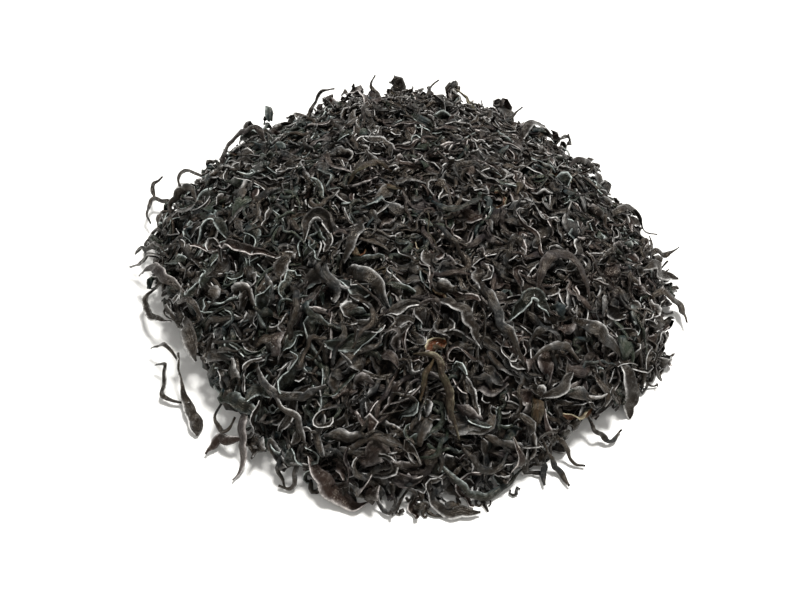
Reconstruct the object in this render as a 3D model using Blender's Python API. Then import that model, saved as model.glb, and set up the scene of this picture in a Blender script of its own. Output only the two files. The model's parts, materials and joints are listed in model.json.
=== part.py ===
"""A heap of dried cut wakame: a low mound of shrivelled seaweed shreds, with the larger shreds lying on it.

Run with: blender --background --python part.py
Metres, +Z up. The origin is the middle of the heap's foot, on the surface it stands on.
"""

import math
import random

import bmesh
import bpy
from mathutils import Vector, noise

MM = 0.001

# Driving dimensions of the heap
RIM_RADII_MM = (99, 93, 95, 100, 95, 97, 101, 97, 98, 99, 98, 103)  # every 30 degrees from +X
HEAP_HEIGHT = 41 * MM
CROWN_POWER = 2.4  # higher is a flatter crown
EDGE_POWER = 0.75  # lower is a steeper edge
SWELL = 2.2 * MM  # clumps that stand out of the mound and dips between them
SWELL_LENGTH = 34 * MM

# The matted bed that the shreds stand out of
BED_DROP = 6.0 * MM
BED_INSET = 8.0 * MM
BED_SEGMENTS = 40
BED_RINGS = 16
BED_LUMP = 2.2 * MM
BED_LUMP_LENGTH = 9 * MM
BED_LUMP_MIDDLE = 0.5  # over 0 raises the bed under its lumps

# The shreds that cover the heap
SHRED_SEED = 22
SHRED_COUNT = 116
SHRED_STEPS = 5
SHRED_LENGTH = (30 * MM, 48 * MM)
SHRED_HALF_WIDTH = (2.8 * MM, 5.0 * MM)
SHRED_WIDEST_AT = (0.35, 0.65)  # share of the length
SHRED_TURN = (50, 230)  # degrees from end to end
SHRED_WAVE = 0.9  # radians
SHRED_TILT = 0.9  # radians to either side
SHRED_RISE = 3.5 * MM
ARCH_POWER = 0.6  # lower is a flatter top on each arched shred
ROOT_SINK = 7.5 * MM
RIM_REACH = 1.5 * MM
CROWDING = 0.42  # under 0.5 puts more shreds towards the steep rim
FURTHEST_MIDDLE = 0.97  # share of the rim radius
BEARING_DRIFT = 0.12  # radians

# A shred's cross-section, for a half width of 1
SHRED_SECTION = ((-1, -0.22), (1, -0.22), (0, 0.34))
LARGE_THICKNESS = 0.4
LARGE_SECTION = ((-1, 0), (-0.25, -LARGE_THICKNESS), (1, 0.05), (0.15, LARGE_THICKNESS))
TIP_HALF_WIDTH = 0.8 * MM

GAP = 0.3 * MM  # left round a large shred, and under it on the table
LARGE_STEP = 4.5 * MM
SHRED_FOOT = 0.8  # a shred's lowest centre line over the gap, for a half width of 1
LARGE_FOOT = 0.45
CLEAR_OF_LARGE = 1.5 * MM  # beside a large shred, where the small ones dip under it
TABLE_CUTTER = (0.3, 0.3, 0.02)

COLOURS = {
    "charcoal": (0.031, 0.029, 0.026),
    "green_black": (0.022, 0.030, 0.025),
    "purple_brown": (0.040, 0.027, 0.028),
    "midrib_tan": (0.125, 0.082, 0.046),
}

# The large shreds: colour, then one or more arms, of which the second and later ones branch off the first.
# An arm has its widest half width in mm, the share of its length where it is widest, and its route: x and
# y in mm, and the height in mm over the heap there. A negative height is an end pushed into the heap.
LARGE_SHREDS = {
    "leaf_tipped_hook": ("charcoal", (
        (2.9, 0.80, ((-78, -47, 2), (-77, -53, 3), (-75, -59, 2.5), (-72, -65, 2), (-69, -74, 1.5))),
        (0.9, 0.40, ((-77, -50, 3.5), (-80, -47, 5), (-84, -44, 6), (-90, -41, 5))),
        (1.1, 0.55, ((-72, -63, 2), (-78, -61, 2.5), (-83, -60, 3), (-83, -55, 4), (-82, -50, 6), (-87, -48, 5))),
    )),
    "left_drooping_leaf": ("charcoal", (
        (3.0, 0.60, ((-77, -33, -3), (-75, -40, 2.5), (-73, -46, 3.5), (-70, -53, 2.5))),
    )),
    "forked_leaf": ("purple_brown", (
        (2.5, 0.40, ((-51, -68, -3), (-52, -75, 2.5), (-52, -82, 2.5), (-53, -87, 1.5), (-55, -90, 1.5))),
        (1.9, 0.50, ((-52, -79, 2.5), (-57, -78, 3.5), (-62, -77, 3), (-65, -81, 2))),
    )),
    "left_ringlet": ("charcoal", (
        (0.9, 0.50, ((-60, -67, 0), (-62, -71, 2.5), (-60, -75, 2.5), (-57, -75, 2.5), (-55, -72, 0))),
    )),
    "front_loop": ("charcoal", (
        (1.0, 0.50, ((-33, -83, 0), (-34, -89, 2), (-36, -93, 1.8), (-40, -92, 1.8))),
        (0.9, 0.50, ((-38, -93, 1.8), (-40, -88, 2.5), (-39, -83, 0))),
    )),
    "front_rim_wing": ("purple_brown", (
        (3.1, 0.50, ((-30, -86, 0), (-26, -92, 3), (-21, -96, 2.5), (-15, -99, 2), (-11, -98, 2))),
    )),
    "front_foot_curl": ("charcoal", (
        (1.0, 0.50, ((-9, -91, -2), (-8, -98, 2), (-4, -101, 1.8), (1, -95, -2))),
    )),
    "front_foot_leaf": ("charcoal", (
        (2.1, 0.60, ((6, -93, -3), (11, -99, 2.5), (17, -101, 2), (24, -101, 2))),
    )),
    "front_rim_strap": ("green_black", (
        (1.7, 0.45, ((10, -88, -3), (17, -94, 3), (24, -96, 2.5), (31, -94, 2.5), (38, -87, -2))),
    )),
    "front_bent_strap": ("charcoal", (
        (1.3, 0.50, ((16, -84, 0), (20, -88, 5), (25, -91, 5.5), (30, -90, 5), (33, -85, 2))),
    )),
    "front_thin_hook": ("green_black", (
        (0.9, 0.50, ((14, -80, -2), (12, -86, 5), (9, -89, 4.5), (4, -88, -2))),
    )),
    "right_foot_sprig": ("charcoal", (
        (1.2, 0.75, ((42, -77, -1), (46, -83, 3), (50, -87, 2), (53, -92, 1.5))),
        (1.3, 0.70, ((46, -83, 3), (45, -87, 2.5), (45, -92, 2))),
    )),
    "right_foot_barb": ("charcoal", (
        (1.0, 0.50, ((46, -75, -3), (51, -80, 2.5), (55, -84, 1.8), (59, -85, 1.5))),
    )),
    "right_foot_curl": ("charcoal", (
        (1.1, 0.50, ((60, -70, -2), (64, -75, 2.5), (69, -76, 2), (73, -72, 2))),
    )),
    "brown_midrib_arch": ("midrib_tan", (
        (1.6, 0.45, ((3, -61, 0), (7, -63, 4.5), (11, -66, 6), (13, -73, 5), (15, -79, 4.5), (17, -84, 2))),
        (1.3, 0.45, ((9, -64.5, 5.5), (7, -68, 3.5), (5, -74, 0))),
    )),
    "forked_midrib": ("charcoal", (
        (1.8, 0.60, ((-48, -57, -2), (-46, -65, 4), (-40, -71, 5), (-33, -73, 5), (-24, -71, 4))),
        (1.6, 0.50, ((-43, -69, 5), (-38, -75, 5), (-33, -79, 4.5), (-31, -85, 1))),
    )),
    "bright_hook": ("green_black", (
        (1.3, 0.50, ((-30, -42, 0), (-31, -47, 4.5), (-27, -52, 4.5), (-20, -54, 1))),
    )),
    "left_standing_shred": ("charcoal", (
        (1.5, 0.50, ((-38, -34, -2), (-35, -42, 4.5), (-35, -49, 4.5), (-38, -56, -2))),
    )),
    "looped_string": ("charcoal", (
        (0.9, 0.50, ((-16, -60, 1), (-13, -57, 4.5), (-10, -53, 4.5), (-11, -47, 3), (-15, -44, 0))),
    )),
    "tadpole_leaf": ("charcoal", (
        (2.5, 0.40, ((-19, -31, -2), (-14, -37, 4.5), (-9, -41, 4.5), (-4, -47, -2))),
    )),
    "standing_leaf": ("charcoal", (
        (1.9, 0.40, ((25, -36, 0), (27, -44, 5), (30, -51, 5), (34, -57, 4), (39, -62, 0))),
    )),
    "folded_leaf": ("charcoal", (
        (2.3, 0.50, ((10, -42, -2), (16, -47, 4.5), (20, -51, 4.5), (25, -57, -2))),
    )),
    "cupped_leaf_end": ("green_black", (
        (2.6, 0.50, ((34, -49, 0), (38, -45, 5), (43, -43, 5), (48, -45, 0))),
    )),
    "bright_stub": ("charcoal", (
        (1.4, 0.50, ((41, -60, 0), (46, -58, 4.5), (51, -56, 4.5), (57, -57, 1))),
    )),
    "pointed_leaf": ("charcoal", (
        (2.1, 0.55, ((43, -70, 0), (48, -69, 4), (52, -66, 4.5), (55, -61, 1))),
    )),
    "right_tadpole": ("charcoal", (
        (2.7, 0.40, ((56, -43, -2.5), (63, -48, 5), (68, -51, 4.5), (76, -51, -2))),
    )),
    "oval_leaf": ("charcoal", (
        (2.9, 0.50, ((73, -53, 0), (75, -58, 4), (76, -62, 4), (77, -67, 0))),
    )),
    "broad_arch_leaf": ("purple_brown", (
        (2.6, 0.50, ((44, -38, 0), (46, -31, 4), (51, -26, 5.5), (57, -25, 5), (61, -30, 4), (63, -36, 0))),
    )),
    "crescent_shred": ("green_black", (
        (1.6, 0.50, ((10, -4, 0), (13, -10, 4), (18, -12, 4.5), (24, -8, 4.5), (27, 0, 0))),
    )),
    "ring_leaf": ("charcoal", (
        (1.3, 0.50, ((31, 15, 0), (25, 13, 4.5), (19, 9, 4.5), (19, 4, 4), (24, 4, 0))),
    )),
    "long_straight_shred": ("charcoal", (
        (1.1, 0.50, ((9, -14, 0), (13, -20, 4.5), (17, -25, 4.5), (21, -31, 0))),
    )),
    "olive_stem_piece": ("midrib_tan", (
        (2.6, 0.50, ((-20, 6, 0), (-16, 10, 4), (-10, 13, 4.5), (-4, 12, 0))),
    )),
    "middle_cup_leaf": ("charcoal", (
        (2.6, 0.55, ((-34, -19, 0), (-32, -14, 4.5), (-27, -13, 4.5), (-24, -18, 0))),
    )),
    "middle_pointed_leaf": ("charcoal", (
        (2.1, 0.60, ((-13, -12, 0), (-15, -18, 4.5), (-17, -24, 4.5), (-20, -30, 0))),
    )),
    "red_lined_roll": ("purple_brown", (
        (1.9, 0.45, ((-66, -13, 0), (-60, -18, 4), (-53, -22, 4), (-46, -24, 2.5), (-41, -25, 0))),
    )),
    "left_bright_leaf": ("green_black", (
        (2.8, 0.55, ((-76, -9, -3), (-71, -5, 4), (-67, -4, 4), (-63, -9, -3))),
    )),
    "left_arch_leaf": ("charcoal", (
        (1.6, 0.50, ((-80, -28, -1), (-77, -33, 6), (-72, -36, 6.5), (-68, -41, 2))),
    )),
    "left_hanging_strap": ("charcoal", (
        (1.7, 0.50, ((-92, -15, -3), (-95, -20, 3), (-93, -27, 3.5), (-87, -33, 3), (-82, -35, 1))),
    )),
    "left_purple_scrap": ("purple_brown", (
        (2.2, 0.45, ((-99, -11, 7), (-93, -13, 7), (-88, -18, 6), (-82, -23, 3), (-76, -27, -4))),
    )),
    "left_tines": ("charcoal", (
        (1.0, 0.40, ((-89, -6, -2), (-95, -6, 7), (-100, -5, 7), (-105, -4, 6))),
        (0.9, 0.50, ((-96, -6, 7), (-98, -2, 9), (-103, 0, 9))),
    )),
    "left_rim_ring": ("charcoal", (
        (1.0, 0.50, ((-91, 6, 0), (-96, 11, 5), (-101, 10, 5), (-100, 4, 5), (-93, -1, 5), (-86, -10, 2))),
    )),
    "left_rim_roll": ("charcoal", (
        (1.7, 0.50, ((-91, 15, -1), (-92, 21, 6), (-87, 24, 7), (-82, 21, 6), (-79, 15, 0))),
    )),
    "left_rim_antler": ("charcoal", (
        (1.1, 0.40, ((-87, 31, -4), (-96, 32, 6), (-103, 31, 7), (-104, 25, 6), (-102, 20, 5))),
        (1.0, 0.50, ((-102, 31.5, 7), (-103, 37, 9), (-100, 42, 10))),
    )),
    "left_rim_string": ("charcoal", (
        (0.95, 0.50, ((-80, 42, -4), (-87, 48, 6), (-93, 49, 7), (-94, 43, 5), (-90, 39, 0))),
    )),
    "back_left_arch": ("purple_brown", (
        (2.4, 0.50, ((-77, 46, -3.5), (-75, 53, 6), (-68, 56, 9), (-61, 56, 8), (-56, 50, -2))),
    )),
    "back_stray_curl": ("charcoal", (
        (1.3, 0.35, ((-44, 70, -4), (-40, 77, 4), (-37, 82, 11), (-34, 84, 13), (-30, 86, 12))),
    )),
    "back_hook_leaf": ("purple_brown", (
        (2.6, 0.60, ((-26, 84, 3), (-23, 84, 6), (-19, 82, 5), (-16, 78, 2), (-15, 71, -3))),
    )),
    "back_horn": ("charcoal", (
        (1.3, 0.35, ((-8, 74, -4), (-11, 81, 2), (-14, 86, 8), (-12, 88, 13))),
    )),
    "back_spike": ("charcoal", (
        (1.1, 0.35, ((9, 77, -4), (11, 84, 3), (13, 89, 8), (16, 91, 12))),
    )),
    "back_twigs": ("midrib_tan", (
        (1.0, 0.50, ((34, 71, -4), (30, 78, 2), (27, 83, 6), (24, 85, 8))),
        (0.9, 0.50, ((29.5, 80, 3), (32, 84, 4), (35, 86, 5))),
    )),
    "back_pale_spike": ("charcoal", (
        (1.1, 0.35, ((42, 64, -4), (46, 70, 3), (49, 74, 8), (52, 76, 14))),
    )),
    "back_right_leaf": ("charcoal", (
        (2.7, 0.55, ((47, 48, -4), (52, 55, 7), (58, 58, 8), (63, 58, 6))),
    )),
    "right_rim_barb": ("purple_brown", (
        (1.6, 0.40, ((65, 34, -1), (70, 38, 6), (76, 42, 7), (82, 46, 8))),
    )),
    "right_rim_tail": ("charcoal", (
        (1.8, 0.40, ((77, 9, -4), (85, 14, 6), (91, 16, 7), (96, 13, 6), (101, 13, 6))),
    )),
    "right_rim_point": ("charcoal", (
        (1.6, 0.60, ((87, -3, -4), (95, -2, 6), (100, -1, 10), (105, 0, 13))),
    )),
    "right_rim_fan": ("charcoal", (
        (3.4, 0.60, ((87, -13, -1), (93, -11, 5), (99, -9, 6), (105, -9, 5))),
    )),
    "right_rim_strap": ("charcoal", (
        (2.1, 0.40, ((90, -21, -3), (97, -19, 5), (103, -22, 5), (104, -29, 4))),
    )),
}


def rim_radius(angle):
    """The heap's plan radius at a bearing: a smooth closed curve through the twelve radii."""
    count = len(RIM_RADII_MM)
    place = (angle / math.tau) % 1.0 * count
    first = int(place)
    t = place - first
    a, b, c, d = (RIM_RADII_MM[(first + k) % count] for k in (-1, 0, 1, 2))
    smooth = 2 * b + (c - a) * t + (2 * a - 5 * b + 4 * c - d) * t**2 + (3 * b - a - 3 * c + d) * t**3
    return smooth / 2 * MM


def mound_height(x, y, inset=0.0, drop=0.0):
    """Height of the heap's surface over the table. Inset and drop give the smaller bed inside it."""
    share = math.hypot(x, y) / (rim_radius(math.atan2(y, x)) - inset)
    if share >= 1:
        return 0.0
    dome = (1 - share**CROWN_POWER) ** EDGE_POWER
    swell = noise.noise(Vector((x, y, 0)) / SWELL_LENGTH) * SWELL
    return max(0.0, (HEAP_HEIGHT - drop) * dome + swell * (1 - share**4))


def smooth_route(points, spacing):
    """Points about one spacing apart on a smooth curve through the given ones."""
    ends = [2 * points[0] - points[1], *points, 2 * points[-1] - points[-2]]
    route = []
    for a, b, c, d in zip(ends, ends[1:], ends[2:], ends[3:]):
        parts = max(1, round((c - b).length / spacing))
        for k in range(parts):
            t = k / parts
            route.append((2 * b + (c - a) * t + (2 * a - 5 * b + 4 * c - d) * t**2
                          + (3 * b - a - 3 * c + d) * t**3) / 2)
    route.append(points[-1].copy())
    return route


def swelling(share, widest_at):
    """0 at both ends of a shred and 1 where it is widest."""
    exponent = math.log(0.5) / math.log(widest_at)
    return math.sin(math.pi * share**exponent)


def section_curve(name, section, helpers):
    """A closed outline that the shreds are swept with."""
    curve = bpy.data.curves.new(name, "CURVE")
    curve.dimensions = "2D"
    outline = curve.splines.new("POLY")
    outline.points.add(len(section) - 1)
    for point, (x, y) in zip(outline.points, section):
        point.co = (x * MM, y * MM, 0, 1)
    outline.use_cyclic_u = True
    guide = bpy.data.objects.new(name, curve)
    guide.hide_render = True
    guide.display_type = "WIRE"
    helpers.objects.link(guide)
    return guide


def swept_shred(name, route, half_widths, section, collection, tilt=0.0, grow=0.0):
    """One shred as a closed mesh: the section swept along the route, tapered by the half widths."""
    curve = bpy.data.curves.new(name, "CURVE")
    curve.dimensions = "3D"
    curve.twist_mode = "Z_UP"
    curve.bevel_mode = "OBJECT"
    curve.bevel_object = section
    curve.use_fill_caps = True
    if grow:
        route = [route[0] + (route[0] - route[1]).normalized() * grow, *route[1:-1],
                 route[-1] + (route[-1] - route[-2]).normalized() * grow]
    line = curve.splines.new("POLY")
    line.points.add(len(route) - 1)
    for point, place, half_width in zip(line.points, route, half_widths):
        point.co = (*place, 1)
        point.radius = half_width / MM
        point.tilt = tilt
    swept = bpy.data.objects.new(name, curve)
    collection.objects.link(swept)
    graph = bpy.context.evaluated_depsgraph_get()
    mesh = bpy.data.meshes.new_from_object(swept.evaluated_get(graph))
    bpy.data.objects.remove(swept)
    solid = bpy.data.objects.new(name, weld(mesh, grow))
    collection.objects.link(solid)
    return solid


def weld(mesh, grow):
    """Closes the swept mesh at its caps, faces it outwards and, for a cutter, swells it."""
    shape = bmesh.new()
    shape.from_mesh(mesh)
    bmesh.ops.remove_doubles(shape, verts=shape.verts, dist=0.01 * MM)
    bmesh.ops.recalc_face_normals(shape, faces=shape.faces)
    if grow:
        shape.normal_update()
        for vertex in shape.verts:
            vertex.co += vertex.normal * grow * max(1.0, vertex.calc_shell_factor())
    shape.to_mesh(mesh)
    shape.free()
    return mesh


def split_alike(mesh):
    """Splits each face by its shorter diagonal, so that both sides of a waved blade match."""
    shape = bmesh.new()
    shape.from_mesh(mesh)
    bmesh.ops.triangulate(shape, faces=shape.faces, quad_method="SHORT_EDGE")
    shape.to_mesh(mesh)
    shape.free()


def boolean_with(target, others, operation):
    """Joins every object of a collection to the target, or cuts them all from it, and removes them."""
    step = target.modifiers.new(operation.lower(), "BOOLEAN")
    step.operand_type = "COLLECTION"
    step.collection = others
    step.operation = operation
    step.solver = "MANIFOLD"
    graph = bpy.context.evaluated_depsgraph_get()
    result = bpy.data.meshes.new_from_object(target.evaluated_get(graph))
    target.modifiers.clear()
    target.data = result
    for used in list(others.objects):
        bpy.data.objects.remove(used)
    bpy.data.collections.remove(others)


def keep_largest_body(mesh):
    """Drops the loose scraps that cutting leaves."""
    shape = bmesh.new()
    shape.from_mesh(mesh)
    unseen = set(shape.faces)
    bodies = []
    while unseen:
        reached = [unseen.pop()]
        for face in reached:
            for edge in face.edges:
                beside = [other for other in edge.link_faces if other in unseen]
                unseen.difference_update(beside)
                reached.extend(beside)
        bodies.append(reached)
    bodies.sort(key=len)
    scraps = [face for body in bodies[:-1] for face in body]
    bmesh.ops.delete(shape, geom=scraps, context="FACES")
    shape.to_mesh(mesh)
    shape.free()


def finish_for(name, colour):
    """Dry, leathery seaweed of one colour."""
    material = bpy.data.materials.new(name)
    material.use_nodes = True
    surface = material.node_tree.nodes["Principled BSDF"]
    surface.inputs["Base Color"].default_value = (*colour, 1)
    surface.inputs["Roughness"].default_value = 0.6
    surface.inputs["Metallic"].default_value = 0.0
    return material


def matted_bed(collection):
    """The flat-footed mound inside the heap, from the upper half of a sphere."""
    shape = bmesh.new()
    bmesh.ops.create_uvsphere(shape, u_segments=BED_SEGMENTS, v_segments=BED_RINGS, radius=1)
    everything = [*shape.verts, *shape.edges, *shape.faces]
    bmesh.ops.bisect_plane(shape, geom=everything, plane_co=(0, 0, 0), plane_no=(0, 0, 1), clear_inner=True)
    bmesh.ops.holes_fill(shape, edges=[edge for edge in shape.edges if edge.is_boundary])
    for vertex in shape.verts:
        angle = math.atan2(vertex.co.y, vertex.co.x)
        reach = rim_radius(angle) - BED_INSET
        on_foot = vertex.co.z < 1e-4
        vertex.co.x *= reach
        vertex.co.y *= reach
        if on_foot:
            vertex.co.z = 0
            continue
        vertex.co.z = mound_height(vertex.co.x, vertex.co.y, BED_INSET, BED_DROP)
        vertex.co.z += (noise.noise(vertex.co / BED_LUMP_LENGTH) + BED_LUMP_MIDDLE) * BED_LUMP
    bmesh.ops.recalc_face_normals(shape, faces=shape.faces)
    mesh = bpy.data.meshes.new("shred_heap")
    shape.to_mesh(mesh)
    shape.free()
    bed = bpy.data.objects.new("shred_heap", mesh)
    collection.objects.link(bed)
    return bed


def under_large(place, half_width, large_places):
    """The highest that a shred may lie here and still pass under the large ones."""
    highest = math.inf
    for other, other_half_width in large_places:
        beside = half_width + other_half_width + CLEAR_OF_LARGE
        if math.hypot(place.x - other.x, place.y - other.y) < beside:
            highest = min(highest, other.z - LARGE_THICKNESS * other_half_width)
    return highest


def heap_shred_route(draw, index):
    """The route of one shred of the heap: a walk whose heading drifts, rooted in the bed."""
    share = ((index + 0.5) / SHRED_COUNT) ** CROWDING
    bearing = index * math.pi * (3 - math.sqrt(5)) + draw.uniform(-BEARING_DRIFT, BEARING_DRIFT)
    middle = Vector((math.cos(bearing), math.sin(bearing))) * rim_radius(bearing) * share * FURTHEST_MIDDLE
    length = draw.uniform(*SHRED_LENGTH)
    heading = draw.uniform(0, math.tau)
    turn = math.radians(draw.uniform(*SHRED_TURN)) * draw.choice((-1, 1))
    wave = draw.uniform(-SHRED_WAVE, SHRED_WAVE)
    rise = draw.uniform(0.0, SHRED_RISE / MM) * MM
    stride = length / SHRED_STEPS
    flat = [Vector((0, 0))]
    for step in range(SHRED_STEPS):
        share = (step + 0.5) / SHRED_STEPS
        way = heading + turn * (share - 0.5) + wave * math.sin(math.tau * share)
        flat.append(flat[-1] + Vector((math.cos(way), math.sin(way))) * stride)
    shift = middle - sum(flat, Vector((0, 0))) / len(flat)
    route = []
    for step, place in enumerate(flat):
        share = step / SHRED_STEPS
        place += shift
        bearing = math.atan2(place.y, place.x)
        place *= min(1.0, (rim_radius(bearing) + RIM_REACH) / place.length)
        arch = math.sin(math.pi * share) ** ARCH_POWER
        lift = rise * arch - ROOT_SINK * (1 - arch)
        route.append(Vector((place.x, place.y, mound_height(place.x, place.y) + lift)))
    return route


def heap_shreds(collection, section, large_places):
    """The shreds that cover the heap, each one tapered and rooted in the bed."""
    draw = random.Random(SHRED_SEED)
    for index in range(SHRED_COUNT):
        route = heap_shred_route(draw, index)
        widest = draw.uniform(*SHRED_HALF_WIDTH)
        widest_at = draw.uniform(*SHRED_WIDEST_AT)
        tilt = draw.uniform(-SHRED_TILT, SHRED_TILT)
        widths = [max(TIP_HALF_WIDTH, widest * swelling(k / SHRED_STEPS, widest_at))
                  for k in range(SHRED_STEPS + 1)]
        for place, half_width in zip(route, widths):
            place.z = min(place.z, under_large(place, half_width, large_places))
            place.z = max(place.z, half_width * SHRED_FOOT + GAP)
        swept_shred(f"heap_shred_{index}", route, widths, section, collection, tilt)


def large_arm(arm, stem=()):
    """The route and half widths of one arm of a large shred. A branch starts on its stem's route."""
    widest, widest_at, stops = arm
    points = [Vector((x * MM, y * MM, mound_height(x * MM, y * MM) + over * MM)) for x, y, over in stops]
    if stem:
        points[0] = min(stem, key=lambda place: (place - points[0]).length)
    route = smooth_route(points, LARGE_STEP)
    last = len(route) - 1
    widths = [max(TIP_HALF_WIDTH, widest * MM * swelling(k / last, widest_at)) for k in range(last + 1)]
    for place, half_width in zip(route, widths):
        place.z = max(place.z, half_width * LARGE_FOOT + 2 * GAP)
    return route, widths


def large_shred(name, stem, branches, section, parts, nests):
    """One large shred in its own node, and the slightly larger copy of it that cuts its nest."""
    solid = swept_shred(name, *stem, section, parts)
    if branches:
        extra = new_collection(f"{name}_branches")
        for number, branch in enumerate(branches):
            swept_shred(f"{name}_branch_{number}", *branch, section, extra)
        boolean_with(solid, extra, "UNION")
    split_alike(solid.data)
    for number, arm in enumerate([stem, *branches]):
        nest = swept_shred(f"{name}_nest_{number}", *arm, section, nests, grow=GAP)
        split_alike(nest.data)
    return solid


def below_table(collection):
    """A slab under the heap that keeps its foot flat."""
    bpy.ops.mesh.primitive_cube_add(size=1, location=(0, 0, -TABLE_CUTTER[2] / 2))
    slab = bpy.context.object
    slab.scale = TABLE_CUTTER
    bpy.ops.object.transform_apply(location=True, rotation=False, scale=True)
    for holder in list(slab.users_collection):
        holder.objects.unlink(slab)
    collection.objects.link(slab)


def new_collection(name):
    made = bpy.data.collections.new(name)
    bpy.context.scene.collection.children.link(made)
    return made


def main():
    for old in list(bpy.data.objects):
        bpy.data.objects.remove(old)
    parts = new_collection("wakame")
    helpers = new_collection("sections")
    finishes = {name: finish_for(name, colour) for name, colour in COLOURS.items()}
    thin = section_curve("shred_section", SHRED_SECTION, helpers)
    broad = section_curve("large_section", LARGE_SECTION, helpers)

    layouts = {}
    for name, (_, (stem, *branches)) in LARGE_SHREDS.items():
        stem = large_arm(stem)
        layouts[name] = stem, [large_arm(branch, stem[0]) for branch in branches]
    large_places = [place for stem, branches in layouts.values()
                    for arm in (stem, *branches) for place in zip(*arm)]

    heap = matted_bed(parts)
    shreds = new_collection("heap_shreds")
    heap_shreds(shreds, thin, large_places)
    boolean_with(heap, shreds, "UNION")

    nests = new_collection("nests")
    for name, (colour, _) in LARGE_SHREDS.items():
        solid = large_shred(name, *layouts[name], broad, parts, nests)
        solid.data.materials.clear()
        solid.data.materials.append(finishes[colour])
    below_table(nests)
    boolean_with(heap, nests, "DIFFERENCE")
    keep_largest_body(heap.data)
    heap.data.materials.clear()
    heap.data.materials.append(finishes["charcoal"])


main()
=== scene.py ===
# A heap of dried cut wakame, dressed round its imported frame.
# The frame is in metres, +Z up. Tables and layout here are in millimetres, turned to metres in each mesh.

import functools
import json
import math
import random

import bpy
import numpy as np
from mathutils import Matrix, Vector, noise

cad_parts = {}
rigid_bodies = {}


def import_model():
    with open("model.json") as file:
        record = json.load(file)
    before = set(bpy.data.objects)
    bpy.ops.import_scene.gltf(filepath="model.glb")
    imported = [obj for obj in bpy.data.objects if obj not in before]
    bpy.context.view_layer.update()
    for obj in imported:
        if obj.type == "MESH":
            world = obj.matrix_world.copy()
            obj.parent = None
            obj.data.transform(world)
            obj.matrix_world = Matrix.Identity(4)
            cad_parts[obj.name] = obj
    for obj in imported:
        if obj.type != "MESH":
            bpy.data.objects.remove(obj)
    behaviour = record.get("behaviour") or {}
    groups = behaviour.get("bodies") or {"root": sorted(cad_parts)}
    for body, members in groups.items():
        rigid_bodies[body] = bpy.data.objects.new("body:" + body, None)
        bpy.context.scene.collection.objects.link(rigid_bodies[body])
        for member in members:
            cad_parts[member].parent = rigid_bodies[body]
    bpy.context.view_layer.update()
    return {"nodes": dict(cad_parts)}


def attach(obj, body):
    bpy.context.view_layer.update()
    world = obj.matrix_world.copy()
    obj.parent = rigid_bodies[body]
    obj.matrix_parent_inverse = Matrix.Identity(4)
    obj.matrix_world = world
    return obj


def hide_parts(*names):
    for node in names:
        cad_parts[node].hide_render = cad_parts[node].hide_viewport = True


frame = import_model()
print("frame loaded,", len(frame["nodes"]), "nodes")

mm = 0.001


# The mound that every shred lies on, as the solids have it.
mound = {
    "rimRadii": (99, 93, 95, 100, 95, 97, 101, 97, 98, 99, 98, 103),  # every 30 degrees from +X
    "meanRadius": 98,
    "height": 41,
    "crownPower": 2.4,
    "edgePower": 0.75,
    "swell": 2.2,  # clumps and dips
    "swellLength": 34,
    "slopeSteps": 900,  # of the profile, closest at the rim
    "tableSteps": 200,
    "tableReach": 40,
    "profileStep": 0.25,
    "rimRounding": 8,  # the corner between slope and table, eased over this length
    "easedOver": 20,
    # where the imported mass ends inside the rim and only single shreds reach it, every 15 degrees from +X
    "rimInset": (-2, 6, -3, 6, -2, -3, -4, 1, -2, 9, 2, 3, 10, 11, 16, 14, 9, 6, 3, -1, 9, 11, 3, 2),
    "mapHalf": 134,  # the unrolled map reaches this far from the crown, in cells of 1 mm
}


def rimRadius(angle):  # smooth closed curve through the twelve radii
    radii = np.array(mound["rimRadii"], float)
    place = np.asarray(angle) / math.tau % 1.0 * len(radii)
    first = np.floor(place).astype(int)
    t = place - first
    a, b, c, d = (radii[(first + k) % len(radii)] for k in (-1, 0, 1, 2))
    smooth = 2 * b + (c - a) * t + (2 * a - 5 * b + 4 * c - d) * t**2 + (3 * b - a - 3 * c + d) * t**3
    return smooth / 2


def rimInset(angle):
    insets = np.array([*mound["rimInset"], mound["rimInset"][0]], float)
    return np.interp(np.asarray(angle) / math.tau % 1.0 * (len(insets) - 1), np.arange(len(insets)), insets)


def noiseMap(length, level):  # on a grid of 1 mm
    side = range(-mound["mapHalf"], mound["mapHalf"] + 1)
    return np.array([[noise.noise(Vector((x, y, level)) / length) for y in side] for x in side])


swellGrid = noiseMap(mound["swellLength"], 0) * mound["swell"]


def swellAt(x, y):
    half = mound["mapHalf"]
    column = np.clip(x + half, 0, 2 * half - 0.001)
    row = np.clip(y + half, 0, 2 * half - 0.001)
    i = column.astype(int)
    j = row.astype(int)
    s = column - i
    t = row - j
    near = swellGrid[i, j] * (1 - t) + swellGrid[i, j + 1] * t
    far = swellGrid[i + 1, j] * (1 - t) + swellGrid[i + 1, j + 1] * t
    return near * (1 - s) + far * s


def moundHeight(x, y):
    share = np.hypot(x, y) / rimRadius(np.arctan2(y, x))
    inside = np.clip(share, 0, 1)
    dome = (1 - inside ** mound["crownPower"]) ** mound["edgePower"]
    return np.maximum(0, mound["height"] * dome + swellAt(x, y) * (1 - inside**4)) * (share < 1)


def runningMean(values, window):
    padded = np.pad(values, window // 2, mode="edge")
    return np.convolve(padded, np.ones(window) / window, mode="valid")[: len(values)]


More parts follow.
